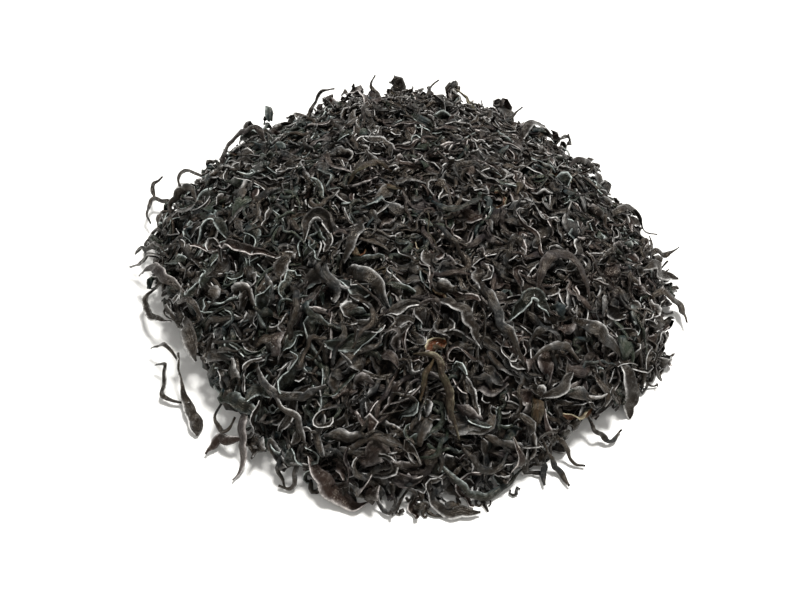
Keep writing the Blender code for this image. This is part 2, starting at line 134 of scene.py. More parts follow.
def makeProfile():
    # The slope from crown to rim and on along the table, by its length: radius, height and lean.
    share = 1 - np.linspace(1, 0, mound["slopeSteps"]) ** 2
    height = mound["height"] * (1 - share ** mound["crownPower"]) ** mound["edgePower"]
    height = np.append(height, np.zeros(mound["tableSteps"]))
    beyond = np.linspace(0.1, mound["tableReach"], mound["tableSteps"])
    radius = np.append(share * mound["meanRadius"], mound["meanRadius"] + beyond)
    length = np.append(0, np.cumsum(np.hypot(np.diff(radius), np.diff(height))))
    rim = length[mound["slopeSteps"] - 1]
    even = np.arange(0, length[-1], mound["profileStep"])
    radius = np.interp(even, length, radius)
    height = np.interp(even, length, height)
    window = int(mound["rimRounding"] / mound["profileStep"])
    eased = np.clip((even - rim / 2) / mound["easedOver"], 0, 1)
    radius = radius * (1 - eased) + runningMean(radius, window) * eased
    height = height * (1 - eased) + runningMean(height, window) * eased
    lean = np.arctan2(-np.gradient(height), np.gradient(radius))
    return {"length": even, "radius": radius, "height": height, "lean": runningMean(lean, window), "rim": rim}


profile = makeProfile()


def onHeap(flat, lift):
    # Takes places on the unrolled surface to space, lifted off it; gives the surface's normals too.
    angle = np.arctan2(flat[:, 1], flat[:, 0])
    grow = rimRadius(angle) / mound["meanRadius"]
    along = np.hypot(flat[:, 0], flat[:, 1]) / grow
    radius = np.interp(along, profile["length"], profile["radius"]) * grow
    height = np.interp(along, profile["length"], profile["height"])
    lean = np.interp(along, profile["length"], profile["lean"])
    x = radius * np.cos(angle)
    y = radius * np.sin(angle)
    height = height + swellAt(x, y) * np.clip(1 - (radius / grow / mound["meanRadius"]) ** 4, 0, 1)
    normal = np.stack([np.sin(lean) * np.cos(angle), np.sin(lean) * np.sin(angle), np.cos(lean)], 1)
    return np.stack([x, y, height], 1) + lift[:, None] * normal, normal


def unrolled(x, y):
    angle = np.arctan2(y, x)
    grow = rimRadius(angle) / mound["meanRadius"]
    along = np.interp(np.hypot(x, y) / grow, profile["radius"], profile["length"]) * grow
    return np.stack([along * np.cos(angle), along * np.sin(angle)], -1)


# Materials
def linear(hexColour):
    parts = [int(hexColour[k:k + 2], 16) / 255 for k in (1, 3, 5)]
    return (*[c / 12.92 if c <= 0.04045 else ((c + 0.055) / 1.055) ** 2.4 for c in parts], 1)


def addNode(tree, kind, settings=None, inputs=None, links=None):
    node = tree.nodes.new(kind)
    for name, value in (settings or {}).items():
        setattr(node, name, value)
    for name, value in (inputs or {}).items():
        node.inputs[name].default_value = value
    for name, source in (links or {}).items():
        tree.links.new(source, node.inputs[name])
    return node


def newMaterial(name, inputs):
    material = bpy.data.materials.new(name)
    material.use_nodes = True
    surface = material.node_tree.nodes["Principled BSDF"]
    for key, value in inputs.items():
        surface.inputs[key].default_value = value
    return material, material.node_tree, surface


def setRamp(ramp, stops):
    ramp.color_ramp.elements[0].position = stops[0][0]
    ramp.color_ramp.elements[0].color = linear(stops[0][1])
    ramp.color_ramp.elements[1].position = stops[-1][0]
    ramp.color_ramp.elements[1].color = linear(stops[-1][1])
    for place, colour in stops[1:-1]:
        ramp.color_ramp.elements.new(place).color = linear(colour)


driedBlade = {
    "ior": 1.45,  # dry plant tissue and its film of dried slime
    "glossLevel": 0.36,  # salt and crumbs dull the film
    "glossTint": "#fff1de",  # and it is faintly brown
    # sizes and depths in millimetres
    "wrinkleWidth": 0.5,
    "wrinkleLength": 4.0,
    "wrinkleDepth": 0.55,
    "pebbleSize": 0.35,  # the skin's cells are far finer, and are drawn this coarse so that they show
    "pebbleDepth": 0.08,
    "pitSize": 1.3,  # the blade's surface shrinks into shallow dents
    "pitDepth": 0.18,
    "patchSize": 7.0,
    "bloomSize": 1.6,
    # the salt bloom, and the painted highlight on the rims, at most this strong
    "bloomAndHighlightStrength": 0.86,
    "rimHighlightSharpness": 5.0,  # higher keeps the painted rim highlight closer to the cut rim
    "liningStrength": 0.7,
    # the span of a pattern that counts, and what it gives at either end
    "wrinkleLightAndShade": (0.40, 0.64, 0.0, 0.55),  # painted light on wrinkle crests, painted shade in their hollows: how far they climb the base colours
    "patches": (0.50, 0.66, 0.0, 0.7),
    "dust": (0.52, 0.75, 0.0, 0.14),  # bloom away from the rims
    # the painted rim highlight, bright in some places and faint in others
    "patchyRimHighlight": (0.38, 0.58, 0.3, 1.15),
    "roughness": (0.3, 0.7, 0.20, 0.48),
}


def driedBladeMaterial(name, tones, patch, lining, bloomAndHighlightTint):
    # Seaweed blade, blanched and dried in hot air: leathery, close to black, with a dull sheen. It shrinks
    # as it dries, so the eye sees fine wrinkles along each shred, a pebbled skin and a pale salt bloom. Its
    # colour holds painted light on wrinkle crests, painted shade in their hollows and a painted rim highlight.
    look = driedBlade
    material, tree, surface = newMaterial(name, {
        "IOR": look["ior"], "Metallic": 0.0, "Specular IOR Level": look["glossLevel"],
        "Specular Tint": linear(look["glossTint"])})
    space = addNode(tree, "ShaderNodeTexCoord").outputs["Object"]
    strand = addNode(tree, "ShaderNodeAttribute", {"attribute_name": "strand"}).outputs["Vector"]
    # rim is the mask of the painted highlight along the cut rims
    tone, rim, inside = (addNode(tree, "ShaderNodeAttribute", {"attribute_name": key}).outputs["Fac"]
                         for key in ("tone", "rim", "inside"))

    # patterns: wrinkles run along the shred, the rest lie in space
    stretched = addNode(tree, "ShaderNodeMapping", inputs={
        "Scale": (1 / look["wrinkleWidth"], 1 / look["wrinkleLength"], 1)}, links={"Vector": strand})
    wrinkle = addNode(tree, "ShaderNodeTexNoise", inputs={
        "Scale": 1.0, "Detail": 3.0, "Roughness": 0.55, "Distortion": 0.5}, links={
        "Vector": stretched.outputs["Vector"]}).outputs["Fac"]
    pits = addNode(tree, "ShaderNodeTexVoronoi", inputs={"Scale": 1 / (look["pitSize"] * mm)}, links={
        "Vector": space}).outputs["Distance"]
    pebble, patches, dust = (
        addNode(tree, "ShaderNodeTexNoise", inputs={
            "Scale": 1 / (look[size] * mm), "Detail": detail, "Roughness": roughness}, links={
            "Vector": space}).outputs["Fac"]
        for size, detail, roughness in (
            ("pebbleSize", 2.0, 0.5), ("patchSize", 2.0, 0.5), ("bloomSize", 4.0, 0.7)))
    given = {}
    for key, pattern in (("wrinkleLightAndShade", wrinkle), ("patches", patches), ("dust", dust), ("patchyRimHighlight", dust),
                         ("roughness", patches)):
        span = dict(zip(("From Min", "From Max", "To Min", "To Max"), look[key]))
        given[key] = addNode(tree, "ShaderNodeMapRange", inputs=span, links={"Value": pattern}).outputs[0]

    # colour: base by tone and wrinkle, with painted light on the crests and painted shade in the hollows;
    # then patches, the lining, and the salt bloom with a painted rim highlight over it
    shade = addNode(tree, "ShaderNodeMath", {"operation": "ADD"}, links={0: given["wrinkleLightAndShade"], 1: tone})
    base = addNode(tree, "ShaderNodeValToRGB", links={"Fac": shade.outputs[0]})
    setRamp(base, tones)
    liningShare = addNode(tree, "ShaderNodeMath", {"operation": "MULTIPLY"}, {1: look["liningStrength"]}, {
        0: inside})
    # a painted highlight along the rims, made patchy by the dust pattern, and the salt bloom from the dust
    paintedRimHighlight = addNode(tree, "ShaderNodeMath", {"operation": "POWER"}, {1: look["rimHighlightSharpness"]}, {0: rim})
    rimHighlightAndDust = addNode(tree, "ShaderNodeMath", {"operation": "MULTIPLY_ADD", "use_clamp": True}, links={
        0: paintedRimHighlight.outputs[0], 1: given["patchyRimHighlight"], 2: given["dust"]})
    bloomAndHighlightShare = addNode(tree, "ShaderNodeMath", {"operation": "MULTIPLY"}, {1: look["bloomAndHighlightStrength"]}, {
        0: rimHighlightAndDust.outputs[0]})
    colour = base.outputs["Color"]
    for tint, share in ((patch, given["patches"]), (lining, liningShare.outputs[0]),
                        (bloomAndHighlightTint, bloomAndHighlightShare.outputs[0])):
        mix = addNode(tree, "ShaderNodeMix", {"data_type": "RGBA"}, {7: linear(tint)}, {0: share, 6: colour})
        colour = mix.outputs[2]
    tree.links.new(colour, surface.inputs["Base Color"])

    # sheen and relief
    tree.links.new(given["roughness"], surface.inputs["Roughness"])
    relief = {}
    for height, depth in ((pebble, "pebbleDepth"), (pits, "pitDepth"), (wrinkle, "wrinkleDepth")):
        bump = addNode(tree, "ShaderNodeBump", inputs={
            "Strength": 1.0, "Distance": look[depth] * mm}, links={"Height": height, **relief})
        relief = {"Normal": bump.outputs["Normal"]}
    tree.links.new(relief["Normal"], surface.inputs["Normal"])
    return material


materials = {
    "wakame_charcoal": driedBladeMaterial(
        "driedWakameBladeCharcoal", ((0.1, "#0e0b08"), (0.6, "#17120d"), (1.0, "#302922")),
        "#10181d", "#130e0a", "#cbc9c5"),
    "wakame_green_black": driedBladeMaterial(
        "driedWakameBladeGreenBlack", ((0.1, "#090b08"), (0.6, "#131812"), (1.0, "#293027")),
        "#0e2027", "#0d100c", "#bcc4bf"),
    "wakame_purple_brown": driedBladeMaterial(
        "driedWakameBladePurpleBrown", ((0.1, "#0f0b09"), (0.6, "#1a1310"), (1.0, "#332a26")),
        "#19161b", "#1f120d", "#cac3be"),
    "wakame_midrib_tan": driedBladeMaterial(
        "driedWakameMidribTan", ((0.1, "#130d08"), (0.6, "#241a11"), (1.0, "#423423")),
        "#2b2a1a", "#4e2510", "#b3ab90"),
}
print("materials made")


# Shred geometry
shred = {
    "closedWidth": 0.35,  # a half that curls shut isn't stretched back past this share of its width
    "lump": 0.22,  # of a rolled string, and the length over which it comes and goes
    "lumpLength": 2.5,
    "stringFlatness": 0.8,
    "upperWidth": 0.96,  # its upper layer is this much narrower, so that the two don't meet
    "dimMarginHighlight": 0.6,  # one margin of a blade, and a string, get less painted rim highlight
    "stringRimHighlight": 0.8,
    "toneRarity": 2.2,  # higher makes light shreds rarer
    "lightestTone": 0.85,
}


def wander(draw, along, spacing, kinked=False):  # random wave, -1 to 1, that turns about every spacing mm
    knots = draw.uniform(-1, 1, int((along[-1] - along[0]) / spacing) + 3)
    place = (along - along[0]) / spacing + draw.uniform(0, 1)
    first = np.minimum(place.astype(int), len(knots) - 2)
    t = np.clip(place - first, 0, 1)
    if not kinked:
        t = t * t * (3 - 2 * t)
    return knots[first] * (1 - t) + knots[first + 1] * t


def lengthAlong(line):
    return np.append(0, np.cumsum(np.linalg.norm(np.diff(line, axis=0), axis=1)))


def unit(vectors):
    return vectors / np.maximum(np.linalg.norm(vectors, axis=1, keepdims=True), 1e-9)


def stripSection(halfWidth, curls, margin, thickness, columns):
    # Across a strip, from its middle line out: each half turns up by its own curl, mostly near its margin.
    steps = np.linspace(0, 1, columns // 2 + 1)
    x, y, turn = [], [], []
    for sign, curl in zip((-1, 1), curls):
        way = curl[:, None] * ((steps[1:] + steps[:-1]) / 2) ** margin
        out = np.cumsum(np.cos(way), axis=1) / len(steps)
        up = np.cumsum(np.sin(way), axis=1) / len(steps)
        order = slice(None, None, sign)
        x.append((sign * out)[:, order])
        y.append(up[:, order])
        turn.append((sign * curl[:, None] * steps[1:] ** margin)[:, order])
    middle = np.zeros((len(halfWidth), 1))
    x, y, turn = (np.concatenate([side[0], middle, side[1]], axis=1) for side in (x, y, turn))
    size = (halfWidth / np.maximum(np.abs(x).max(axis=1), shred["closedWidth"]))[:, None]
    x = x * size
    y = y * size
    y = y - (y.max(axis=1) + y.min(axis=1))[:, None] / 2
    half = thickness[:, None] / 2
    lower = (x + half * np.sin(turn), y - half * np.cos(turn))
    upper = (x - half * np.sin(turn), y + half * np.cos(turn))
    arc = np.linspace(-1, 1, columns)[None, :] * size
    return lower, upper, arc


def stringSection(draw, along, halfWidth, columns):
    # A tightly rolled string: lumpy, and a little flat.
    angle = np.linspace(0, math.pi, columns)[None, :]
    layers = []
    for side in (-1, 1):
        waves = [wander(draw, along, shred["lumpLength"]) for _ in range(columns)]
        lump = np.stack([1 + shred["lump"] * wave for wave in waves], 1)
        layers.append((-np.cos(angle) * halfWidth[:, None] * (1 if side < 0 else shred["upperWidth"]),
                       side * np.sin(angle) * halfWidth[:, None] * shred["stringFlatness"] * lump))
    return *layers, angle * halfWidth[:, None]


def shredSkin(draw, centre, up, halfWidth, curls, roll, thickness, columns, margin=1.0, solid=False):
    # One closed blade swept along the centre line.
    along = lengthAlong(centre)
    tangent = unit(np.gradient(centre, axis=0))
    side = unit(np.cross(tangent, up))
    lift = np.cross(side, tangent)
    turn = roll[:, None]
    side, lift = side * np.cos(turn) + lift * np.sin(turn), lift * np.cos(turn) - side * np.sin(turn)
    if solid:
        lower, upper, arc = stringSection(draw, along, halfWidth, columns)
    else:
        lower, upper, arc = stripSection(halfWidth, curls, margin, thickness, columns)
    points = []
    for x, y in (lower, (upper[0][:, ::-1], upper[1][:, ::-1])):
        points.append(centre[:, None] + x[..., None] * side[:, None] + y[..., None] * lift[:, None])
    points = np.concatenate(points, axis=1)
    rings, width = points.shape[:2]
    start = np.arange(rings - 1)[:, None] * width
    j = np.arange(width)[None, :]
    after = (j + 1) % width
    sides = np.stack([start + j, start + j + width, start + after + width, start + after], -1).reshape(-1, 4)
    k = np.arange(columns - 1)
    cap = np.stack([k, k + 1, width - 2 - k, width - 1 - k], -1)
    faces = np.concatenate([sides, cap, cap[:, ::-1] + (rings - 1) * width])
    # the mask of the painted highlight along the cut margins, weaker on one margin and on strings
    edge = np.abs(np.linspace(-1, 1, columns))
    edge = edge * np.where(np.arange(columns) * 2 < columns, shred["dimMarginHighlight"], 1)
    creased = np.zeros((rings - 1, width), bool)  # the cut margins stay crisp
    if not solid:
        creased[:, columns - 1] = True
        creased[:, width - 1] = True
    flat = np.concatenate([arc, arc[:, ::-1]], axis=1)
    strand = np.stack([flat, np.broadcast_to(along[:, None], flat.shape),
                       np.full(flat.shape, draw.uniform(0, 500))], -1)
    edge = np.concatenate([edge, edge[::-1]]) * (shred["stringRimHighlight"] if solid else 1)
    rimHighlightMask = np.broadcast_to(edge, flat.shape)
    inner = np.broadcast_to(np.repeat([0.0, 0.0 if solid else 1.0], columns), flat.shape)
    tone = np.full(flat.shape, draw.uniform(0, 1) ** shred["toneRarity"] * shred["lightestTone"])
    return {"points": points.reshape(-1, 3), "faces": faces, "strand": strand.reshape(-1, 3),
            "smooth": ~np.append(creased.ravel(), np.zeros(len(cap) * 2, bool)),
            "rim": rimHighlightMask.ravel(), "inside": inner.ravel(), "tone": tone.ravel()}


def addObject(name, data):
    added = bpy.data.objects.new(name, data)
    bpy.context.scene.collection.objects.link(added)
    return added


def meshPiece(name, skins, slot, nodes, material=None):
    # One object from many closed blades, riding on the heap and standing for its nodes.
    starts = np.append(0, np.cumsum([len(skin["points"]) for skin in skins]))
    points = np.concatenate([skin["points"] for skin in skins]) * mm
    points[:, 2] = np.maximum(points[:, 2], 0.02 * mm)  # nothing dips into the table
    faces = np.concatenate([skin["faces"] + start for skin, start in zip(skins, starts)])
    mesh = bpy.data.meshes.new(name)
    mesh.vertices.add(len(points))
    mesh.vertices.foreach_set("co", points.ravel())
    mesh.loops.add(faces.size)
    mesh.loops.foreach_set("vertex_index", faces.ravel().astype(np.int32))
    mesh.polygons.add(len(faces))
    mesh.polygons.foreach_set("loop_start", np.arange(0, faces.size, 4, dtype=np.int32))
    smooth = [skin.get("smooth", np.ones(len(skin["faces"]), bool)) for skin in skins]
    mesh.polygons.foreach_set("use_smooth", np.concatenate(smooth))
    mesh.update(calc_edges=True)
    for key in ("tone", "rim", "inside"):
        if key in skins[0]:
            values = np.concatenate([skin[key] for skin in skins])
            mesh.attributes.new(key, "FLOAT", "POINT").data.foreach_set("value", values)
    if "strand" in skins[0]:
        values = np.concatenate([skin["strand"] for skin in skins])
        mesh.attributes.new("strand", "FLOAT_VECTOR", "POINT").data.foreach_set("vector", values.ravel())
    piece = addObject(name, mesh)
    mesh.materials.append(material or materials[slot])
    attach(piece, "root")
    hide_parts(*nodes)
    return piece


# The large shreds, as the solids have them: slot, form, then arms of (widest half width, share of the length
# where it is widest, stops of (x, y, height over the heap)).
largeShreds = {
    "leaf_tipped_hook": ("charcoal", "leaf",
        (2.9, 0.80, ((-78, -47, 2), (-77, -53, 3), (-75, -59, 2.5), (-72, -65, 2), (-69, -74, 1.5))),
        (0.9, 0.40, ((-77, -50, 3.5), (-80, -47, 5), (-84, -44, 6), (-90, -41, 5))),
        (1.1, 0.55, ((-72, -63, 2), (-78, -61, 2.5), (-83, -60, 3), (-83, -55, 4), (-82, -50, 6),
                     (-87, -48, 5)))),
    "left_drooping_leaf": ("charcoal", "leaf",
        (3.0, 0.60, ((-77, -33, -3), (-75, -40, 2.5), (-73, -46, 3.5), (-70, -53, 2.5)))),
    "forked_leaf": ("purple_brown", "leaf",
        (2.5, 0.40, ((-51, -68, -3), (-52, -75, 2.5), (-52, -82, 2.5), (-53, -87, 1.5), (-55, -90, 1.5))),
        (1.9, 0.50, ((-52, -79, 2.5), (-57, -78, 3.5), (-62, -77, 3), (-65, -81, 2)))),
    "left_ringlet": ("charcoal", "string",
        (0.9, 0.50, ((-60, -67, 0), (-62, -71, 2.5), (-60, -75, 2.5), (-57, -75, 2.5), (-55, -72, 0)))),
    "front_loop": ("charcoal", "string",
        (1.0, 0.50, ((-33, -83, 0), (-34, -89, 2), (-36, -93, 1.8), (-40, -92, 1.8))),
        (0.9, 0.50, ((-38, -93, 1.8), (-40, -88, 2.5), (-39, -83, 0)))),
    "front_rim_wing": ("purple_brown", "leaf",
        (3.1, 0.50, ((-30, -86, 0), (-26, -92, 3), (-21, -96, 2.5), (-15, -99, 2), (-11, -98, 2)))),
    "front_foot_curl": ("charcoal", "roll",
        (1.0, 0.50, ((-9, -91, -2), (-8, -98, 2), (-4, -101, 1.8), (1, -95, -2)))),
    "front_foot_leaf": ("charcoal", "leaf",
        (2.1, 0.60, ((6, -93, -3), (11, -99, 2.5), (17, -101, 2), (24, -101, 2)))),
    "front_rim_strap": ("green_black", "roll",
        (1.7, 0.45, ((10, -88, -3), (17, -94, 3), (24, -96, 2.5), (31, -94, 2.5), (38, -87, -2)))),
    "front_bent_strap": ("charcoal", "roll",
        (1.3, 0.50, ((16, -84, 0), (20, -88, 5), (25, -91, 5.5), (30, -90, 5), (33, -85, 2)))),
    "front_thin_hook": ("green_black", "string",
        (0.9, 0.50, ((14, -80, -2), (12, -86, 5), (9, -89, 4.5), (4, -88, -2)))),
    "right_foot_sprig": ("charcoal", "roll",
        (1.2, 0.75, ((42, -77, -1), (46, -83, 3), (50, -87, 2), (53, -92, 1.5))),
        (1.3, 0.70, ((46, -83, 3), (45, -87, 2.5), (45, -92, 2)))),
    "right_foot_barb": ("charcoal", "roll",
        (1.0, 0.50, ((46, -75, -3), (51, -80, 2.5), (55, -84, 1.8), (59, -85, 1.5)))),
    "right_foot_curl": ("charcoal", "roll",
        (1.1, 0.50, ((60, -70, -2), (64, -75, 2.5), (69, -76, 2), (73, -72, 2)))),
    "brown_midrib_arch": ("midrib_tan", "roll",
        (1.6, 0.45, ((3, -61, 0), (7, -63, 4.5), (11, -66, 6), (13, -73, 5), (15, -79, 4.5), (17, -84, 2))),
        (1.3, 0.45, ((9, -64.5, 5.5), (7, -68, 3.5), (5, -74, 0)))),
    "forked_midrib": ("charcoal", "strap",
        (1.8, 0.60, ((-48, -57, -2), (-46, -65, 4), (-40, -71, 5), (-33, -73, 5), (-24, -71, 4))),
        (1.6, 0.50, ((-43, -69, 5), (-38, -75, 5), (-33, -79, 4.5), (-31, -85, 1)))),
    "bright_hook": ("green_black", "roll",
        (1.3, 0.50, ((-30, -42, 0), (-31, -47, 4.5), (-27, -52, 4.5), (-20, -54, 1)))),
    "left_standing_shred": ("charcoal", "roll",
        (1.5, 0.50, ((-38, -34, -2), (-35, -42, 4.5), (-35, -49, 4.5), (-38, -56, -2)))),
    "looped_string": ("charcoal", "string",
        (0.9, 0.50, ((-16, -60, 1), (-13, -57, 4.5), (-10, -53, 4.5), (-11, -47, 3), (-15, -44, 0)))),
    "tadpole_leaf": ("charcoal", "leaf",
        (2.5, 0.40, ((-19, -31, -2), (-14, -37, 4.5), (-9, -41, 4.5), (-4, -47, -2)))),
    "standing_leaf": ("charcoal", "strap",
        (1.9, 0.40, ((25, -36, 0), (27, -44, 5), (30, -51, 5), (34, -57, 4), (39, -62, 0)))),
    "folded_leaf": ("charcoal", "leaf",
        (2.3, 0.50, ((10, -42, -2), (16, -47, 4.5), (20, -51, 4.5), (25, -57, -2)))),
    "cupped_leaf_end": ("green_black", "cup",
        (2.6, 0.50, ((34, -49, 0), (38, -45, 5), (43, -43, 5), (48, -45, 0)))),
    "bright_stub": ("charcoal", "roll",
        (1.4, 0.50, ((41, -60, 0), (46, -58, 4.5), (51, -56, 4.5), (57, -57, 1)))),
    "pointed_leaf": ("charcoal", "leaf",
        (2.1, 0.55, ((43, -70, 0), (48, -69, 4), (52, -66, 4.5), (55, -61, 1)))),
    "right_tadpole": ("charcoal", "leaf",
        (2.7, 0.40, ((56, -43, -2.5), (63, -48, 5), (68, -51, 4.5), (76, -51, -2)))),
    "oval_leaf": ("charcoal", "leaf",
        (2.9, 0.50, ((73, -53, 0), (75, -58, 4), (76, -62, 4), (77, -67, 0)))),
    "broad_arch_leaf": ("purple_brown", "strap",
        (2.6, 0.50, ((44, -38, 0), (46, -31, 4), (51, -26, 5.5), (57, -25, 5), (61, -30, 4), (63, -36, 0)))),
    "crescent_shred": ("green_black", "strap",
        (1.6, 0.50, ((10, -4, 0), (13, -10, 4), (18, -12, 4.5), (24, -8, 4.5), (27, 0, 0)))),
    "ring_leaf": ("charcoal", "strap",
        (1.3, 0.50, ((31, 15, 0), (25, 13, 4.5), (19, 9, 4.5), (19, 4, 4), (24, 4, 0)))),
    "long_straight_shred": ("charcoal", "roll",
        (1.1, 0.50, ((9, -14, 0), (13, -20, 4.5), (17, -25, 4.5), (21, -31, 0)))),
    "olive_stem_piece": ("midrib_tan", "strap",
        (2.6, 0.50, ((-20, 6, 0), (-16, 10, 4), (-10, 13, 4.5), (-4, 12, 0)))),
    "middle_cup_leaf": ("charcoal", "cup",
        (2.6, 0.55, ((-34, -19, 0), (-32, -14, 4.5), (-27, -13, 4.5), (-24, -18, 0)))),
    "middle_pointed_leaf": ("charcoal", "leaf",
        (2.1, 0.60, ((-13, -12, 0), (-15, -18, 4.5), (-17, -24, 4.5), (-20, -30, 0)))),
    "red_lined_roll": ("purple_brown", "cup",
        (1.9, 0.45, ((-66, -13, 0), (-60, -18, 4), (-53, -22, 4), (-46, -24, 2.5), (-41, -25, 0)))),
    "left_bright_leaf": ("green_black", "leaf",
        (2.8, 0.55, ((-76, -9, -3), (-71, -5, 4), (-67, -4, 4), (-63, -9, -3)))),
    "left_arch_leaf": ("charcoal", "strap",
        (1.6, 0.50, ((-80, -28, -1), (-77, -33, 6), (-72, -36, 6.5), (-68, -41, 2)))),
    "left_hanging_strap": ("charcoal", "strap",
        (1.7, 0.50, ((-92, -15, -3), (-95, -20, 3), (-93, -27, 3.5), (-87, -33, 3), (-82, -35, 1)))),
    "left_purple_scrap": ("purple_brown", "leaf",
        (2.2, 0.45, ((-99, -11, 7), (-93, -13, 7), (-88, -18, 6), (-82, -23, 3), (-76, -27, -4)))),
    "left_tines": ("charcoal", "string",
        (1.0, 0.40, ((-89, -6, -2), (-95, -6, 7), (-100, -5, 7), (-105, -4, 6))),
        (0.9, 0.50, ((-96, -6, 7), (-98, -2, 9), (-103, 0, 9)))),
    "left_rim_ring": ("charcoal", "string",
        (1.0, 0.50, ((-91, 6, 0), (-96, 11, 5), (-101, 10, 5), (-100, 4, 5), (-93, -1, 5), (-86, -10, 2)))),
    "left_rim_roll": ("charcoal", "roll",
        (1.7, 0.50, ((-91, 15, -1), (-92, 21, 6), (-87, 24, 7), (-82, 21, 6), (-79, 15, 0)))),
    "left_rim_antler": ("charcoal", "string",
        (1.1, 0.40, ((-87, 31, -4), (-96, 32, 6), (-103, 31, 7), (-104, 25, 6), (-102, 20, 5))),
        (1.0, 0.50, ((-102, 31.5, 7), (-103, 37, 9), (-100, 42, 10)))),
    "left_rim_string": ("charcoal", "string",
        (0.95, 0.50, ((-80, 42, -4), (-87, 48, 6), (-93, 49, 7), (-94, 43, 5), (-90, 39, 0)))),
    "back_left_arch": ("purple_brown", "strap",
        (2.4, 0.50, ((-77, 46, -3.5), (-75, 53, 6), (-68, 56, 9), (-61, 56, 8), (-56, 50, -2)))),
    "back_stray_curl": ("charcoal", "roll",
        (1.3, 0.35, ((-44, 70, -4), (-40, 77, 4), (-37, 82, 11), (-34, 84, 13), (-30, 86, 12)))),
    "back_hook_leaf": ("purple_brown", "leaf",
        (2.6, 0.60, ((-26, 84, 3), (-23, 84, 6), (-19, 82, 5), (-16, 78, 2), (-15, 71, -3)))),
    "back_horn": ("charcoal", "roll",
        (1.3, 0.35, ((-8, 74, -4), (-11, 81, 2), (-14, 86, 8), (-12, 88, 13)))),
    "back_spike": ("charcoal", "string",
        (1.1, 0.35, ((9, 77, -4), (11, 84, 3), (13, 89, 8), (16, 91, 12)))),
    "back_twigs": ("midrib_tan", "string",
        (1.0, 0.50, ((34, 71, -4), (30, 78, 2), (27, 83, 6), (24, 85, 8))),
        (0.9, 0.50, ((29.5, 80, 3), (32, 84, 4), (35, 86, 5)))),
    "back_pale_spike": ("charcoal", "string",
        (1.1, 0.35, ((42, 64, -4), (46, 70, 3), (49, 74, 8), (52, 76, 14)))),
    "back_right_leaf": ("charcoal", "leaf",
        (2.7, 0.55, ((47, 48, -4), (52, 55, 7), (58, 58, 8), (63, 58, 6)))),
    "right_rim_barb": ("purple_brown", "roll",
        (1.6, 0.40, ((65, 34, -1), (70, 38, 6), (76, 42, 7), (82, 46, 8)))),
    "right_rim_tail": ("charcoal", "leaf",
        (1.8, 0.40, ((77, 9, -4), (85, 14, 6), (91, 16, 7), (96, 13, 6), (101, 13, 6)))),
    "right_rim_point": ("charcoal", "leaf",
        (1.6, 0.60, ((87, -3, -4), (95, -2, 6), (100, -1, 10), (105, 0, 13)))),
    "right_rim_fan": ("charcoal", "leaf",
        (3.4, 0.60, ((87, -13, -1), (93, -11, 5), (99, -9, 6), (105, -9, 5)))),
    "right_rim_strap": ("charcoal", "strap",
        (2.1, 0.40, ((90, -21, -3), (97, -19, 5), (103, -22, 5), (104, -29, 4)))),
}

largeLook = {
    "seed": 57,
    "ringSpacing": 0.7,
    "tipHalfWidth": 0.45,
    "fullness": 0.75,  # lower keeps a shred broad closer to its tips
    "footShare": 0.45,  # of the half width, between centre line and table, and footRoom more
    "footRoom": 0.5,
    "levelBelow": 18,  # from this height down, a shred turns level with the table
    "thickness": 0.42,
    "thickFrom": 1.2,  # half width from which it is that thick
    "thinnest": 0.6,
    "shrivel": 0.85,  # sideways crookedness of the centre line
    "shrivelUp": 0.8,  # and up and down, as a share of that
    "openness": 0.7,  # lower keeps a shred open closer to its tips
    "twist": 25,
    # Curl of each half in the middle and at the tips, then roll, in degrees. At a roll of 0 the open side is
    # up. Turned is the share that lies the other way up.
    "leaf": {"curl": (25, 100), "roll": (-25, 25), "columns": 11, "margin": 2.4, "ruffle": 0.5,
             "slimmer": 0.88, "ripple": 0.08, "turned": 0.4},
    "cup": {"curl": (110, 150), "roll": (-25, 25), "columns": 11, "margin": 1.3, "ruffle": 0.4,
            "slimmer": 0.9, "ripple": 0.15, "turned": 0},
    "strap": {"curl": (70, 140), "roll": (130, 230), "columns": 11, "margin": 1.8, "ruffle": 0.45,
              "slimmer": 0.8, "ripple": 0.15, "turned": 0.3},
    "roll": {"curl": (140, 170), "roll": (110, 250), "columns": 9, "margin": 1.0, "ruffle": 0.35,
             "slimmer": 0.8, "ripple": 0.2, "turned": 0},
    "string": {"curl": (160, 170), "roll": (90, 270), "columns": 9, "margin": 1.0, "ruffle": 0.2,
               "slimmer": 0.8, "ripple": 0.2, "turned": 0},
}


def smoothRoute(points, spacing):
    ends = np.concatenate([[2 * points[0] - points[1]], points, [2 * points[-1] - points[-2]]])
    route = []
    for a, b, c, d in zip(ends, ends[1:], ends[2:], ends[3:]):
        for t in np.arange(0, 1, 1 / max(1, round(np.linalg.norm(c - b) / spacing))):
            route.append((2 * b + (c - a) * t + (2 * a - 5 * b + 4 * c - d) * t**2
                          + (3 * b - a - 3 * c + d) * t**3) / 2)
    return np.array([*route, points[-1]])


def swelling(share, widestAt):  # from near 0 at the ends to 1 where widest
    return np.sin(math.pi * np.clip(share, 0.001, 0.999) ** (math.log(0.5) / math.log(widestAt)))


def largeArm(arm, stem=None):
    widest, widestAt, stops = arm
    points = np.array(stops, float)
    points[:, 2] += moundHeight(points[:, 0], points[:, 1])
    if stem is not None:
        points[0] = stem[np.argmin(np.linalg.norm(stem - points[0], axis=1))]
    route = smoothRoute(points, largeLook["ringSpacing"])
    share = lengthAlong(route) / lengthAlong(route)[-1]
    halfWidth = widest * swelling(share, widestAt) ** largeLook["fullness"]
    halfWidth = np.maximum(largeLook["tipHalfWidth"], halfWidth)
    route[:, 2] = np.maximum(route[:, 2], halfWidth * largeLook["footShare"] + largeLook["footRoom"])
    return route, halfWidth, share


def heapNormals(route):
    _, normals = onHeap(unrolled(route[:, 0], route[:, 1]), np.zeros(len(route)))
    slope = np.clip(route[:, 2:] / largeLook["levelBelow"], 0, 1)
    return unit(normals * slope + np.array((0, 0, 1)) * (1 - slope))


